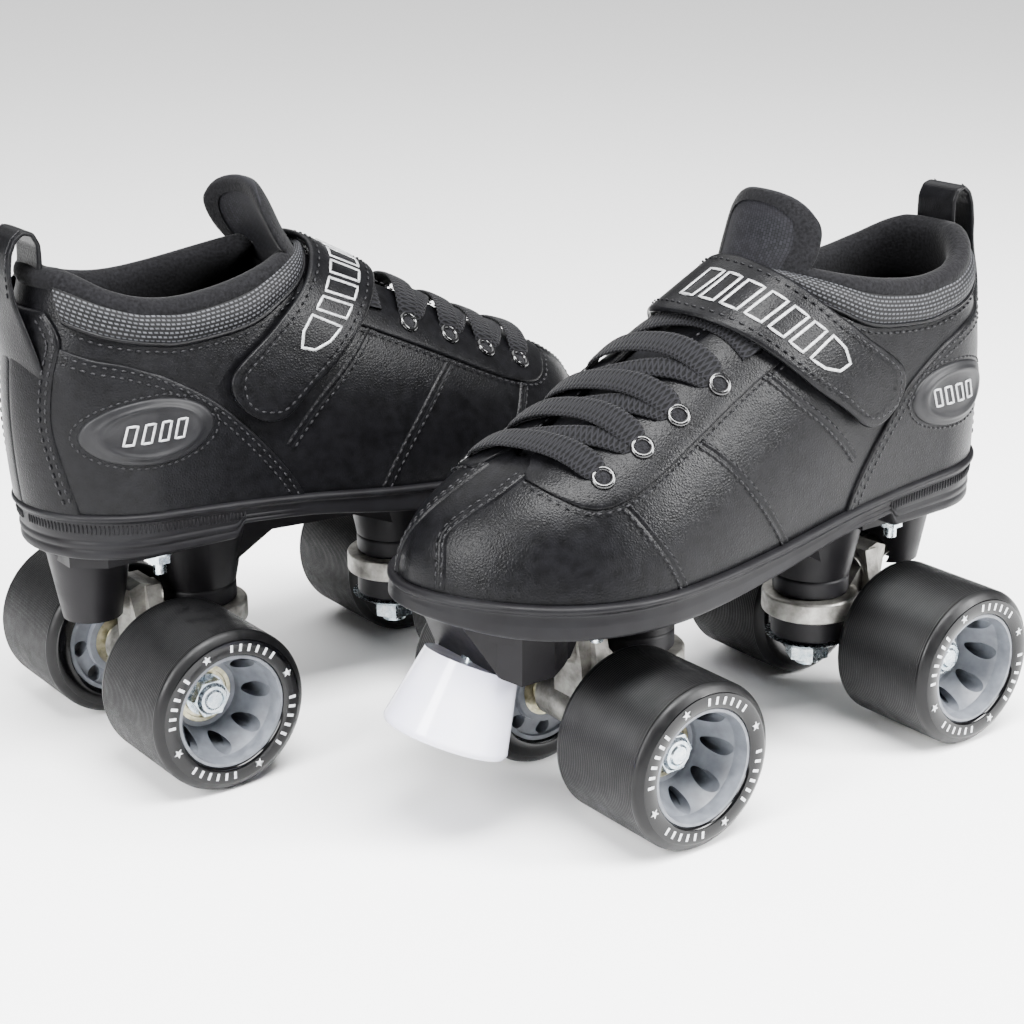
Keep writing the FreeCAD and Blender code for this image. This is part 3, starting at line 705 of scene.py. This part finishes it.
# ---- Mesh band -------------------------------------------------------------------------
# A padded band of dotted grey mesh under the collar, piped along its lower edge.
def thread_rows(tree, shader, count, hues, gap, blur, height):
    """Colours a piece by rows of threads on its own map, and gives back their gaps."""
    uv = add(tree, "ShaderNodeTexCoord").outputs["UV"]
    laid = add(tree, "ShaderNodeMapping", [("Vector", uv), ("Scale", count)])
    rows = add(tree, "ShaderNodeTexBrick", [
        ("Vector", laid.outputs["Vector"]), ("Color1", colour(hues[0])),
        ("Color2", colour(hues[1])), ("Mortar", colour(hues[2])), ("Scale", 1.0),
        ("Mortar Size", gap), ("Mortar Smooth", blur), ("Brick Width", 1.0),
        ("Row Height", height)])
    tree.links.new(rows.outputs["Color"], shader.inputs["Base Color"])
    return rows.outputs["Fac"]


def mesh_textile():
    made, tree, shader, _ = finish("mesh_textile", "0c0c0e", 0.6, Specular_IOR_Level=0.15)
    dots = thread_rows(tree, shader, (64.0, 4.9, 1.0), ("4c4d51", "3c3d40", "070708"), 0.27, 0.6, 0.62)
    emboss(tree, shader, dots, 0.35 * MM, -0.9)
    return made


BAND_LOW = [(-104, 173), (-101, 171), (-88, 166), (-67, 162), (-43, 163.5), (-26, 169), (-9, 178),
            (2, 184)]
BAND_TOP = [(-104, 185), (-100, 183), (-90, 178.5), (-77, 175), (-58, 173.5), (-35, 177), (-12, 184),
            (0, 188)]
bands, pipes = [], []
for side in (1, -1):
    low = [on_side(x, z, side) for x, z in BAND_LOW]
    top = [on_side(x, z, side) for x, z in BAND_TOP]
    low_at, top_at = along(low), along(top)

    def at(u, v, low_at=low_at, top_at=top_at):
        first, last = low_at(u), top_at(u)
        puff = 0.2 + 2.2 * math.sin(math.pi * min(v, 0.94)) ** 0.7
        return skin(*(first[j] + (last[j] - first[j]) * v for j in (0, 1)), puff)[0]
    bands.append(mapped_grid(70, 12, at))
    pipes.append(strip(low, 1.5, [-0.3, 1.0, 1.5, 1.2, 0.4, -0.3]))
    stitch(stitches, low, 0.3, aside=-3.0 * side)
sewn(bands, "boot_mesh_band", mesh_textile())
sewn(pipes, "boot_band_piping")

# ---- Collar ----------------------------------------------------------------------------
# A foam roll in brushed black knit, from the top of the mesh band over into the boot.
ROLL = [(0.6, -2.5), (1.9, -0.5), (2.0, 2.2), (0.4, 4.6), (-2.6, 5.6), (-5.8, 4.4), (-7.8, 1.0),
        (-8.2, -5.0), (-7.8, -13.0), (-6.0, -20.0), (-3.2, -20.5), (-2.4, -12.0), (-2.3, -4.0)]


def half_collar(side):
    start = -6.0

    def at(u, v):
        q = start + (HEEL_Q - start) * u
        x = x_of(q)
        edge = min(curve_at(COLLAR, x), curve_at(COLLAR, COLLAR_FRONT) + 2)
        a = angle_at(x, edge, side)
        spot, out = skin(q, a)
        up = (bare(q, a + 0.02 * side) - bare(q, a - 0.02 * side)).normalized()
        end = min(1.0, u / 0.05) ** 0.5
        across, over = ROLL[round(v * len(ROLL)) % len(ROLL)]
        return spot + out * (-3 + (across + 3) * end) + up * (-8 + (over + 8) * end)
    return mapped_grid(60, len(ROLL), at)


def knit():
    made, tree, shader, where = finish("knit_black", "0b0b0d", 0.9, Specular_IOR_Level=0.08,
                                       Sheen_Weight=0.06, Sheen_Roughness=0.4)
    fuzz = noise(tree, where, 1.1 * MM, 5)
    vary(tree, shader, "Base Color", fuzz, "070708", "161618")
    emboss(tree, shader, fuzz, 0.4 * MM, 0.7)
    return made


knitted = knit()
collar = place(outwards(joined([half_collar(1), half_collar(-1)])), "boot_collar", [knitted],
               stands_for=["collar"])
soften(collar)


# ---- Tongue ----------------------------------------------------------------------------
# A padded tongue in fine ballistic weave, with a bound edge. It runs under the laces, curls
# round the shin at its sides and stands up above the strap.
TONGUE = [(100, 125.5, 15), (93, 129.5, 19), (80, 136.5, 21), (60, 146.2, 21), (40, 156.2, 20),
          (20, 165.5, 18.5), (6, 173, 18.5), (-4, 183, 21.5), (-10, 193, 24.5), (-14, 203, 25),
          (-16.5, 211, 23.5)]

ROUND_FROM, SQUARE, TONGUE_LEANS = 0.8, 2.7, 6.0


def corner(e):
    """Share of its width that the tongue keeps at e, 0 to 1, through its rounded top."""
    return max(1 - min(max(e, 0.0), 1.0) ** SQUARE, 1e-4) ** (1 / SQUARE)


def tongue_at(s, w, h):
    """A point of the tongue: s from front to top, w from -1 to 1 across, h its rise."""
    k = min(int(s * (len(TONGUE) - 1)), len(TONGUE) - 2)
    f = s * (len(TONGUE) - 1) - k
    f = f * f * (3 - 2 * f) * 0.3 + f * 0.7
    (x0, z0, w0), (x1, z1, w1) = TONGUE[k], TONGUE[k + 1]
    kept = corner((s - ROUND_FROM) / (1 - ROUND_FROM))
    half = (w0 + (w1 - w0) * f) * kept
    before, after = TONGUE[max(k - 1, 0)], TONGUE[min(k + 2, len(TONGUE) - 1)]
    way = Vector((after[0] - before[0], 0, after[1] - before[1])).normalized()
    up = Vector((way.z, 0, -way.x))
    sag = 5.5 + 5.0 * max(0.0, (s - 0.6) / 0.4)
    bend = sag * (abs(w) * kept) ** 2.2
    centre = 2 - TONGUE_LEANS * max(0.0, (s - 0.55) / 0.45)
    return Vector((x0 + (x1 - x0) * f, centre + half * w, z0 + (z1 - z0) * f)) + up * (h - bend)


def tongue_shape():
    def face(top):
        def at(u, v):
            w = 2 * v - 1
            s = u / 0.7 * ROUND_FROM
            if u > 0.7:
                round_top = math.sin(math.pi / 2 * (u - 0.7) / 0.3) ** (2 / SQUARE)
                s = ROUND_FROM + (1 - ROUND_FROM) * round_top
            fat = (1 - abs(w) ** 5) * corner((s - 0.85) / 0.15)
            return tongue_at(s, w, (2.6 if top else -2.4) * fat)
        return mapped_grid(80, 26, at)
    return outwards(joined([face(True), face(False)]))


def woven():
    made, tree, shader, _ = finish("tongue_textile", "131316", 0.72, Specular_IOR_Level=0.1,
                                       Sheen_Weight=0.05, Sheen_Roughness=0.4)
    weave = thread_rows(tree, shader, (95.0, 32.0, 1.0), ("1c1c20", "131316", "08080a"), 0.12, 0.8, 0.8)
    emboss(tree, shader, weave, 0.25 * MM, -0.8)
    return made


tongue = place(tongue_shape(), "boot_tongue", [woven()], stands_for=["tongue"])
soften(tongue)


def tongue_binding():
    """The smooth bound border of the tongue's upper half, front and back."""
    turns = [math.pi / 2 * i / 16 for i in range(17)]
    path = [(0.52 + 0.28 * i / 14, 0.0, -1) for i in range(14)] + [(None, t, -1) for t in turns]
    path += [(s, t, 1) for s, t, _ in reversed(path)]

    def wrap(front):
        def at(u, v):
            s, t, hand = path[round(u * (len(path) - 1))]
            keep = 1 - 0.30 * v
            w = keep
            if s is None:
                e = math.sin(t) ** (2 / SQUARE)
                w = keep * corner(e) / corner(keep * e)
                s = ROUND_FROM + (1 - ROUND_FROM) * keep * e
            fat = (1 - w ** 5) * corner((s - 0.85) / 0.15)
            rise = 2.6 * fat + 0.6 * min(1.0, v * 5)
            return tongue_at(s, hand * w, rise if front else -rise)
        return mapped_grid(len(path) - 1, 6, at)
    return outwards(joined([wrap(True), wrap(False)]))


soften(place(tongue_binding(), "boot_tongue_binding", [knitted]))

# ---- Strap -----------------------------------------------------------------------------
# The instep strap starts low on the inner side, crosses the instep above the laces and
# ends in a rounded tip held by hook and loop on the outer side. Pairs are its rear and
# front edges.
STRAP_REAR = [on_side(-26, 152, -1), on_side(-19, 163, -1), on_side(-11, 175, -1), on_top(-4, -12),
              on_top(-2, 0), on_top(-3, 15), on_side(-13, 174), on_side(-29, 162), on_side(-45, 151)]
STRAP_FRONT = [on_side(3, 145, -1), on_side(13, 156, -1), on_side(23, 165, -1), on_top(28, -11),
               on_top(29, 2), on_top(25, 17), on_side(14, 160), on_side(-2, 147), on_side(-24, 131)]
TIP_REACH, TIP_WAY = 12.0, (-0.80, -0.60)
strap_rear, strap_front = along(STRAP_REAR), along(STRAP_FRONT)
TIP_FROM = 0.86


def strap_pair(s, t):
    """The (q, a) at s along the strap and t across it, rounded at its tip."""
    if s <= TIP_FROM:
        rear, front = strap_rear(s / TIP_FROM), strap_front(s / TIP_FROM)
        return tuple(rear[j] + (front[j] - rear[j]) * t for j in (0, 1))
    e = (s - TIP_FROM) / (1 - TIP_FROM)
    width = math.sqrt(max(1 - e ** 2.4, 0.0))
    t = 0.5 + (t - 0.5) * width
    rear, front = (-45.0, 151.0), (-24.0, 131.0)
    x, z = (rear[j] + (front[j] - rear[j]) * t + TIP_WAY[j] * TIP_REACH * e for j in (0, 1))
    return on_side(x, z)


def strap_lift(s):
    """Rise of the strap's top, which bridges from the leather over the tongue."""
    return 3.6 + 1.2 * math.sin(math.pi * min(s / 0.75, 1.0))


def strap_shape():
    def at(u, v):
        return skin(*strap_pair(u, v), strap_lift(u))[0]
    return outwards(mapped_grid(80, 14, at))


strap = place(strap_shape(), "instep_strap", [leather], body="strap", stands_for=["strap"])
modify(strap, "SOLIDIFY", thickness=2.2 * MM, offset=-0.4)
soften(strap)

strap_stitches = bmesh.new()
border = [strap_pair(s, 0.12) for s in (0.05, 0.2, 0.35, 0.5, 0.65, 0.78, 0.86)]
border += [strap_pair(0.86 + 0.11 * math.sin(t), 0.5 - 0.38 * math.cos(t))
           for t in (0.5, 1.1, 1.57, 2.04, 2.64)]
border += [strap_pair(s, 0.88) for s in (0.86, 0.78, 0.65, 0.5, 0.35, 0.2, 0.05)]
stitch(strap_stitches, border, 5.6)
place(strap_stitches, "strap_stitches", [thread], body="strap")


# Slanted outlined bars and a rounded end, in silver print on the strap.
def silver_print():
    made, tree, shader, where = finish("silver_print", "a9aaab", 0.4, 0.35)
    vary(tree, shader, "Base Color", noise(tree, where, 1.5 * MM), "8c8d8f", "b9babb")
    emboss(tree, shader, noise(tree, where, 0.4 * MM), 0.05 * MM, 0.5)
    return made


silver = silver_print()


def outline(shape, corners, width, rise_at, pair_at):
    """Adds a thin raised line round a closed figure of (s, t) corners on the strap."""
    dense = []
    for k, corner in enumerate(corners):
        after = corners[(k + 1) % len(corners)]
        dense += [tuple(corner[j] + (after[j] - corner[j]) * i / 4 for j in (0, 1)) for i in range(4)]
    spots = [skin(*pair_at(*st), rise_at(st[0])) for st in dense]
    rings = []
    for k, (spot, out) in enumerate(spots):
        ahead = spots[(k + 1) % len(spots)][0] - spots[k - 1][0]
        across = ahead.cross(out).normalized() * width / 2
        rings.append([shape.verts.new(spot + across * w + out * h)
                      for w, h in ((-1, 0), (-0.8, 0.3), (0.8, 0.3), (1, 0))])
    for ring, after in zip(rings, rings[1:] + rings[:1]):
        for i in range(3):
            shape.faces.new((ring[i], ring[i + 1], after[i + 1], after[i]))


graphic = bmesh.new()
for k in range(6):
    s0 = 0.34 + 0.052 * k
    figure = [(s0, 0.30), (s0 + 0.036, 0.30), (s0 + 0.012, 0.74), (s0 - 0.024, 0.74)]
    outline(graphic, figure, 1.1, lambda s: strap_lift(s) + 0.85, strap_pair)
end = [(0.655, 0.30), (0.70, 0.34), (0.735, 0.47), (0.72, 0.63), (0.68, 0.72), (0.635, 0.74)]
outline(graphic, end, 1.1, lambda s: strap_lift(s) + 0.85, strap_pair)
bmesh.ops.recalc_face_normals(graphic, faces=graphic.faces)
place(graphic, "strap_graphic", [silver], body="strap")


# ---- Laces and eyelets -------------------------------------------------------------------
# A flat braided lace: each top bar runs from an outer eyelet forward to an inner one, with
# the crossings of the other run under it. The bars dip and narrow into the eyelets.
def braid():
    made, tree, shader, _ = finish("lace_textile", "161618", 0.78, Specular_IOR_Level=0.1,
                                       Sheen_Weight=0.05, Sheen_Roughness=0.4)
    uv = add(tree, "ShaderNodeTexCoord").outputs["UV"]
    bands_by_lean = []
    for lean in (1, -1):
        laid = add(tree, "ShaderNodeMapping", [("Vector", uv), ("Scale", (70.0, 10.0 * lean, 1.0))])
        wave = add(tree, "ShaderNodeTexWave", [("Vector", laid.outputs["Vector"]),
                                               ("Scale", 0.32), ("Distortion", 0.0)],
                   bands_direction="DIAGONAL")
        bands_by_lean.append(wave.outputs["Fac"])
    both = add(tree, "ShaderNodeMath", [(0, bands_by_lean[0]), (1, bands_by_lean[1])],
               operation="MAXIMUM")
    vary(tree, shader, "Base Color", both.outputs["Value"], "050506", "17171a", (0.5, 1.0))
    emboss(tree, shader, both.outputs["Value"], 0.45 * MM, 0.9)
    return made


EYELETS_OUT = [(88, 30.5), (71, 30.5), (54, 29.5), (35, 29)]
EYELETS_IN = [(104, -22), (87, -22.5), (70, -22.5), (51, -22)]
LACE_WIDE, LACE_THICK = 11.0, 2.0


def lace_bar(start, end, lift, wide, bow=0.0, dive=True):
    """One stretch of lace over the instep between two (x, y) places."""
    cuts = 26

    def at(u, v):
        x = start[0] + (end[0] - start[0]) * u + bow * math.sin(math.pi * u)
        y = start[1] + (end[1] - start[1]) * u
        near, far = (min(u / part, (1 - u) / part, 1.0) if dive else 1.0 for part in (0.09, 0.34))
        reach = math.sin(math.pi / 2 * near)
        rise = -0.8 + 2.6 * reach + (lift - 1.8) * math.sin(math.pi / 2 * far)
        turn = 2 * math.pi * v
        across = math.copysign(abs(math.cos(turn)) ** 0.55, math.cos(turn))
        over = math.copysign(abs(math.sin(turn)) ** 0.8, math.sin(turn))
        spot, out = skin(*on_top(x, y), rise)
        ahead = skin(*on_top(x + 1.2 * (end[0] - start[0]) / 60, y + 1.2 * (end[1] - start[1]) / 60))[0]
        side = (ahead - skin(*on_top(x, y))[0]).cross(out).normalized()
        half = wide / 2 * (0.42 + 0.58 * reach)
        return spot + side * across * half + out * over * LACE_THICK / 2
    shape = mapped_grid(cuts, 14, at)
    return outwards(shape)


bars = []
for k, (outer_end, inner_end) in enumerate(zip(EYELETS_OUT, EYELETS_IN)):
    bars.append(lace_bar(outer_end, inner_end, 4.3, LACE_WIDE, bow=(1.5, -1.0, 1.2, 0.4)[k]))
    if k < 3:
        following = EYELETS_OUT[k + 1]
        bars.append(lace_bar((following[0] + 1.5, following[1]), inner_end, 2.6, LACE_WIDE * 0.85,
                             bow=4.0))
bars.append(lace_bar((18, 28), (35, -21), 1.5, LACE_WIDE, dive=False))
soften(place(joined(bars), "lace", [braid()], stands_for=["lace"]))


def lacquer():
    made, tree, shader, where = finish("eyelet_lacquer", "0b0b0c", 0.2, Coat_Weight=0.4)
    vary(tree, shader, "Roughness", noise(tree, where, 1.5 * MM), 0.1, 0.26)
    return made


def ring(shape, spot, out, major, minor, turns=28, around=10):
    """Adds a torus lying square to out."""
    facing = out.to_track_quat("Z", "Y").to_matrix().to_4x4()
    rows = []
    for i in range(turns):
        t = 2 * math.pi * i / turns
        way = Vector((math.cos(t), math.sin(t), 0))
        rows.append([shape.verts.new(Matrix.Translation(spot) @ facing @ (
            way * (major + minor * math.cos(2 * math.pi * j / around))
            + Vector((0, 0, minor * math.sin(2 * math.pi * j / around))))) for j in range(around)])
    for i in range(turns):
        for j in range(around):
            shape.faces.new((rows[i][j], rows[(i + 1) % turns][j],
                             rows[(i + 1) % turns][(j + 1) % around], rows[i][(j + 1) % around]))


rings = bmesh.new()
for x, y in EYELETS_OUT + EYELETS_IN:
    spot, out = skin(*on_top(x, y), 1.3)
    ring(rings, spot, out, 3.5, 1.0)
    facing = Matrix.Translation(spot) @ out.to_track_quat("Z", "Y").to_matrix().to_4x4()
    # A flat disc of the black lining caps each ring's hole: painted shade of the hole, partly standing
    # for the black lace and tongue seen through it.
    hole = bmesh.ops.create_circle(rings, cap_ends=True, segments=20, radius=3.1, matrix=facing)
    hole["verts"][0].link_faces[0].material_index = 1
place(rings, "eyelet_rings", [lacquer(), lining], stands_for=["eyelets"])

# ---- Pull loop ---------------------------------------------------------------------------
# A folded strip of leather that leaves the back stay, stands up and comes back inside.
LOOP = [(-114.6, 150), (-115.8, 160), (-116.4, 170), (-117.2, 180), (-117.4, 189), (-116.4, 196),
        (-114.3, 200.5), (-111.0, 203), (-107.6, 202), (-105.6, 198), (-105.6, 191), (-106.6, 183),
        (-106.0, 174)]
LOOP_HALF = [(0, 18.5), (1, 17.5), (2, 14.5), (3, 10.5), (4, 9.4), (6, 9.2), (9, 9.4), (12, 9.8)]


def pull_loop():
    def at(u, v):
        k = min(int(u * (len(LOOP) - 1)), len(LOOP) - 2)
        f = u * (len(LOOP) - 1) - k
        x, z = (LOOP[k][j] + (LOOP[k + 1][j] - LOOP[k][j]) * f for j in (0, 1))
        half = curve_at(LOOP_HALF, k + f)
        wrap = 0.012 * max(0.0, 1 - (k + f) / 4) * (half * (2 * v - 1)) ** 2
        return Vector((x + wrap, half * (2 * v - 1), z))
    return outwards(mapped_grid(52, 10, at))


loop = place(pull_loop(), "pull_loop", [leather], stands_for=["heel_loop"])
modify(loop, "SOLIDIFY", thickness=1.7 * MM, offset=0.0)
soften(loop)
for y in (-7.0, 7.0):
    for (x0, z0), (x1, z1) in zip(LOOP[3:7], LOOP[4:8]):
        way = Vector((x1 - x0, 0, z1 - z0))
        face = Vector((-way.z, 0, way.x)).normalized() if way.z > 0 else Vector((0, 0, 1))
        for t in (0.17, 0.5, 0.83):
            spot = Vector((x0 + (x1 - x0) * t, y, z0 + (z1 - z0) * t)) + face * 0.95
            bead(stitches, spot, way, face, 2.3, 0.8, 0.7)


# ---- Oval badge --------------------------------------------------------------------------
# A moulded rubber oval with a raised rim, sewn to the outer side of the counter.
def badge_pair(rho, turn):
    return on_side(-80 + rho * 20.5 * math.cos(turn), 132.2 + rho * 10.3 * math.sin(turn))


def badge_rubber():
    made, tree, shader, where = finish("badge_rubber", "101012", 0.45, Specular_IOR_Level=0.2)
    vary(tree, shader, "Base Color", noise(tree, where, 4 * MM), "0c0c0e", "151517")
    emboss(tree, shader, noise(tree, where, 0.5 * MM), 0.05 * MM, 0.5)
    return made


PROFILE = [(0.0, 2.2), (0.4, 2.2), (0.74, 2.1), (0.80, 2.9), (0.88, 3.1), (0.94, 2.7), (1.0, 2.2),
           (1.12, 2.1), (1.17, 1.5), (1.18, 0.4)]


def badge_shape():
    def at(u, v):
        rho, rise = PROFILE[round(v * (len(PROFILE) - 1))]
        return skin(*badge_pair(max(rho, 0.01), 2 * math.pi * u), rise)[0]
    return outwards(mapped_grid(56, len(PROFILE) - 1, at))


soften(place(badge_shape(), "heel_badge", [badge_rubber()]))
stitch(stitches, [badge_pair(1.27, 2 * math.pi * k / 20) for k in range(20)], 1.3, gap=2.8,
       closed=True)
marks = bmesh.new()
for k in range(4):
    x0 = -91 + 6.2 * k
    figure = [(x0, 128.8), (x0 + 3.4, 128.8), (x0 + 5.4, 135.4), (x0 + 2.0, 135.4)]
    outline(marks, figure, 0.9, lambda x: 2.25, on_side)
bmesh.ops.recalc_face_normals(marks, faces=marks.faces)
place(marks, "badge_marks", [silver])
place(stitches, "boot_stitches", [thread])


# ---- Outsole ---------------------------------------------------------------------------
# A moulded cupsole: thin and plain under the forefoot, deeper at the heel, where it has
# grooves, a strip of fine ribs and a block under the arch's end. Its lip is a rounded bead in the same
# rubber.
def sole_rubber():
    made, tree, shader, where = finish("sole_rubber", "0f0e10", 0.42, Specular_IOR_Level=0.12)
    vary(tree, shader, "Base Color", noise(tree, where, 9 * MM), "0c0b0d", "121214")
    vary(tree, shader, "Roughness", noise(tree, where, 16 * MM), 0.38, 0.55)
    emboss(tree, shader, noise(tree, where, 0.7 * MM), 0.06 * MM, 0.5)
    return made


SOLE_UNDER = [(-48, 91), (-15, 88.5), (20, 83.5), (60, 80), (95, 80), (125, 81), (142, 84.5),
              (160, 88)]
HEEL_STEP, HEEL_UNDER = -48.0, 85.5


def half_sole(side):
    def at(u, v):
        q = girth(u)
        x = x_of(q)
        top = curve_at(SOLE_TOP, x)
        under = curve_at(SOLE_UNDER, x) if x > HEEL_STEP else HEEL_UNDER
        heel = min(max((-15 - x) / 25, 0.0), 1.0)
        groove = -0.9 * heel
        deep = top - under
        rows = [(-40.0, under), (-4.0, under), (1.0, under), (1.9, under + 0.9),
                (1.9, under + 0.2 * deep), (1.9 + groove, under + 0.24 * deep),
                (1.9, under + 0.28 * deep), (1.9, under + 0.38 * deep),
                (1.9 + groove, under + 0.42 * deep), (1.9, under + 0.46 * deep),
                (1.5, top - 3.6), (1.9, top - 2.9), (2.9, top - 2.3), (3.1, top - 1.2),
                (2.5, top - 0.2), (1.0, top + 0.2), (-1.0, top - 0.5)]
        beyond, z = rows[round(v * (len(rows) - 1))]
        a = angle_at(q, max(z, 84.0), side)
        spot, out = skin(q, a)
        out = Vector((out.x, out.y * min((TOE_Q - q) / 3.0, 1.0), 0)).normalized()
        middle = Vector((min(max(x, HEEL_X), 128.0), station(max(x, HEEL_X))[0], 0))
        if beyond == rows[0][0]:
            return Vector((middle.x, middle.y, z))
        wall = spot + out * beyond
        return Vector((wall.x, wall.y, z))
    return mapped_grid(150, 16, at)


moulded = sole_rubber()
soften(place(outwards(joined([half_sole(1), half_sole(-1)])), "boot_outsole", [moulded],
             stands_for=["outsole"]))
ribs = bmesh.new()
for side in (1, -1):
    for pair in even_line([(-46, 0), (-75, 0), (-100, 0), (HEEL_Q + 3, 0)], 1.5):
        q = pair[0]
        x = x_of(q)
        z = curve_at(SOLE_TOP, x) - 5.6
        spot, out = skin(q, angle_at(q, z, side))
        out = Vector((out.x, out.y, 0)).normalized()
        bead(ribs, Vector((spot.x, spot.y, z)) + out * 1.75, Vector((0, 0, 1)), out, 4.2, 0.9, 0.8)
place(ribs, "outsole_ribs", [moulded])


# ---- Tyres -----------------------------------------------------------------------------
# Hard urethane cast on the core and turned on a lathe: the tread keeps fine grooves, the
# bevel is matt and the ring round the core is polished. Stars and ticks are printed on it.
def urethane():
    made, tree, shader, where = finish("urethane_tread", "080809", 0.34, Specular_IOR_Level=0.2)
    vary(tree, shader, "Roughness", noise(tree, where, 5 * MM), 0.32, 0.5)
    emboss(tree, shader, noise(tree, where, 0.5 * MM), 0.04 * MM, 0.4)
    return made


def polished():
    made, tree, shader, where = finish("urethane_polished", "050506", 0.1, Specular_IOR_Level=0.28)
    vary(tree, shader, "Roughness", noise(tree, where, 7 * MM), 0.08, 0.2)
    return made


def white_print():
    made, tree, shader, where = finish("white_print", "c8cacc", 0.45)
    vary(tree, shader, "Base Color", noise(tree, where, 0.8 * MM), "aeb0b3", "dcdddf")
    return made


TYRE_R, CORE_R, FACE_R = 31.0, 21.5, 27.9
FACE_OUT, PRINT_PROUD, STAR_AT = 22.95, 0.06, 25.0
face_side = [(CORE_R + 0.02, 21.6), (CORE_R + 0.5, 22.5), (22.6, FACE_OUT), (27.3, FACE_OUT),
             (FACE_R, 22.7), (FACE_R + 0.35, 22.5), (29.6, 21.6), (30.6, 20.6), (30.95, 19.7)]
tread = []
GROOVES = 40
for k in range(GROOVES + 1):
    y = 19.2 - 38.4 * k / GROOVES
    tread += [(TYRE_R, y), (TYRE_R, y - 0.55), (TYRE_R - 0.35, y - 0.75)]
turned = face_side + tread[:-2] + [(r, -y) for r, y in reversed(face_side)]
turned += [(CORE_R + 0.02, -10.0), (CORE_R + 0.02, 10.0)]
SPOKES = 112
tread_finish, ring_finish, print_finish = urethane(), polished(), white_print()


def settled(shape, name):
    """The mesh of a bmesh, which is freed."""
    mesh = bpy.data.meshes.new(name)
    shape.to_mesh(mesh)
    shape.free()
    return mesh


def tyre_mesh(name, centre):
    """One tyre turned about an axle along Y through centre, in metres."""
    shape = bmesh.new()
    rows = []
    for r, y in turned:
        rows.append([shape.verts.new((centre.x + r * MM * math.cos(2 * math.pi * i / SPOKES),
                                      centre.y + y * MM,
                                      centre.z + r * MM * math.sin(2 * math.pi * i / SPOKES)))
                     for i in range(SPOKES)])
    for k, row in enumerate(rows):
        after = rows[(k + 1) % len(rows)]
        r0, r1 = turned[k][0], turned[(k + 1) % len(rows)][0]
        shiny = max(r0, r1) <= FACE_R + 0.01
        for i in range(SPOKES):
            j = (i + 1) % SPOKES
            face = shape.faces.new((row[i], row[j], after[j], after[i]))
            face.material_index = 1 if shiny else 0
            face.smooth = True
    bmesh.ops.recalc_face_normals(shape, faces=shape.faces)
    return settled(shape, name)


def print_mesh(name, centre, outwards_y):
    """Five-pointed stars and ticks round the polished ring, a hair proud of it."""
    shape = bmesh.new()
    lie = centre.y + outwards_y * (FACE_OUT + PRINT_PROUD) * MM

    def flat(points):
        verts = [shape.verts.new((centre.x + x * MM, lie, centre.z + z * MM)) for x, z in points]
        shape.faces.new(verts)

    for k in range(4):
        turn = math.pi / 2 * k + 0.4
        cx, cz = STAR_AT * math.cos(turn), STAR_AT * math.sin(turn)
        flat([(cx + r * math.cos(turn + math.pi * i / 5), cz + r * math.sin(turn + math.pi * i / 5))
              for i, r in enumerate([1.9, 0.8] * 5)])
        for i in range(6):
            t = turn + math.radians(24 + 8.4 * i)
            ends = ((23.6, -0.55), (26.4, -0.55), (26.4, 0.55), (23.6, 0.55))
            flat([(r * math.cos(t) - w * math.sin(t), r * math.sin(t) + w * math.cos(t))
                  for r, w in ends])
    bmesh.ops.triangulate(shape, faces=shape.faces)
    return settled(shape, name)


def on_wheel(wheel, name, mesh, materials):
    """A piece that turns with a wheel."""
    piece = bpy.data.objects.new(f"{wheel}_{name}", mesh)
    for material in materials:
        mesh.materials.append(material)
    show(piece)
    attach(piece, wheel + "_wheel")
    return piece


for side in SIDES:
    for end_name in ("front", "rear"):
        for where_name in ("outer", "inner"):
            wheel = f"{side}_{end_name}_{where_name}"
            low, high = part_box(wheel + "_tyre")
            centre = (low + high) / 2
            tyre = on_wheel(wheel, "turned_tyre", tyre_mesh(wheel, centre), (tread_finish, ring_finish))
            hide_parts(wheel + "_tyre")
            middle = sum(joints[f"{side}_{end_name}_{row}_wheel_spin"]["pos_m"][1]
                         for row in ("outer", "inner")) / 2
            away = math.copysign(1, centre.y - middle)
            on_wheel(wheel, "print", print_mesh(wheel + "_print", centre, away), (print_finish,))

# ---- Footbed ---------------------------------------------------------------------------
# A flat insole, cut from board and covered with the same brushed lining as the boot.
for side in SIDES:
    footbed = frame["nodes"][side + "_footbed"]
    footbed.data.materials.clear()
    footbed.data.materials.append(lining)

# ---- Light and floor -------------------------------------------------------------------
# A white sweep under broad soft lights, so that the black leather reads by its sheen.
floor_shape = bmesh.new()
bmesh.ops.create_grid(floor_shape, x_segments=1, y_segments=1, size=6.0)
floor_mesh = settled(floor_shape, "floor")
floor = bpy.data.objects.new("floor", floor_mesh)
floor.location.z = -0.0005
floor_mesh.materials.append(finish("pale_floor", "ffffff", 0.95)[0])
show(floor)

world = bpy.data.worlds.new("studio")
bpy.context.scene.world = world
world.use_nodes = True
backdrop = world.node_tree.nodes["Background"]
backdrop.inputs["Color"].default_value = colour("ffffff")
backdrop.inputs["Strength"].default_value = 0.26

overhead = bpy.data.objects.new("overhead", bpy.data.lights.new("overhead", "SUN"))
overhead.data.energy = 3.0
overhead.data.angle = math.radians(70)
overhead.rotation_euler = (math.radians(-24), math.radians(8), 0)
show(overhead)


def soft_light(name, power_w, size, at, towards):
    lamp = bpy.data.objects.new(name, bpy.data.lights.new(name, "AREA"))
    lamp.data.energy = power_w
    lamp.data.shape = "RECTANGLE"
    lamp.data.size, lamp.data.size_y = size
    lamp.location = at
    lamp.rotation_euler = (Vector(towards) - Vector(at)).to_track_quat("-Z", "Y").to_euler()
    show(lamp)


soft_light("top", 78, (1.1, 0.45), (-0.1, -0.5, 1.35), (0, 0, 0.1))
soft_light("key", 40, (0.4, 0.8), (-1.2, -0.25, 0.7), (0, 0, 0.1))
soft_light("side", 48, (0.35, 0.7), (0.75, -0.95, 0.7), (0, 0, 0.1))
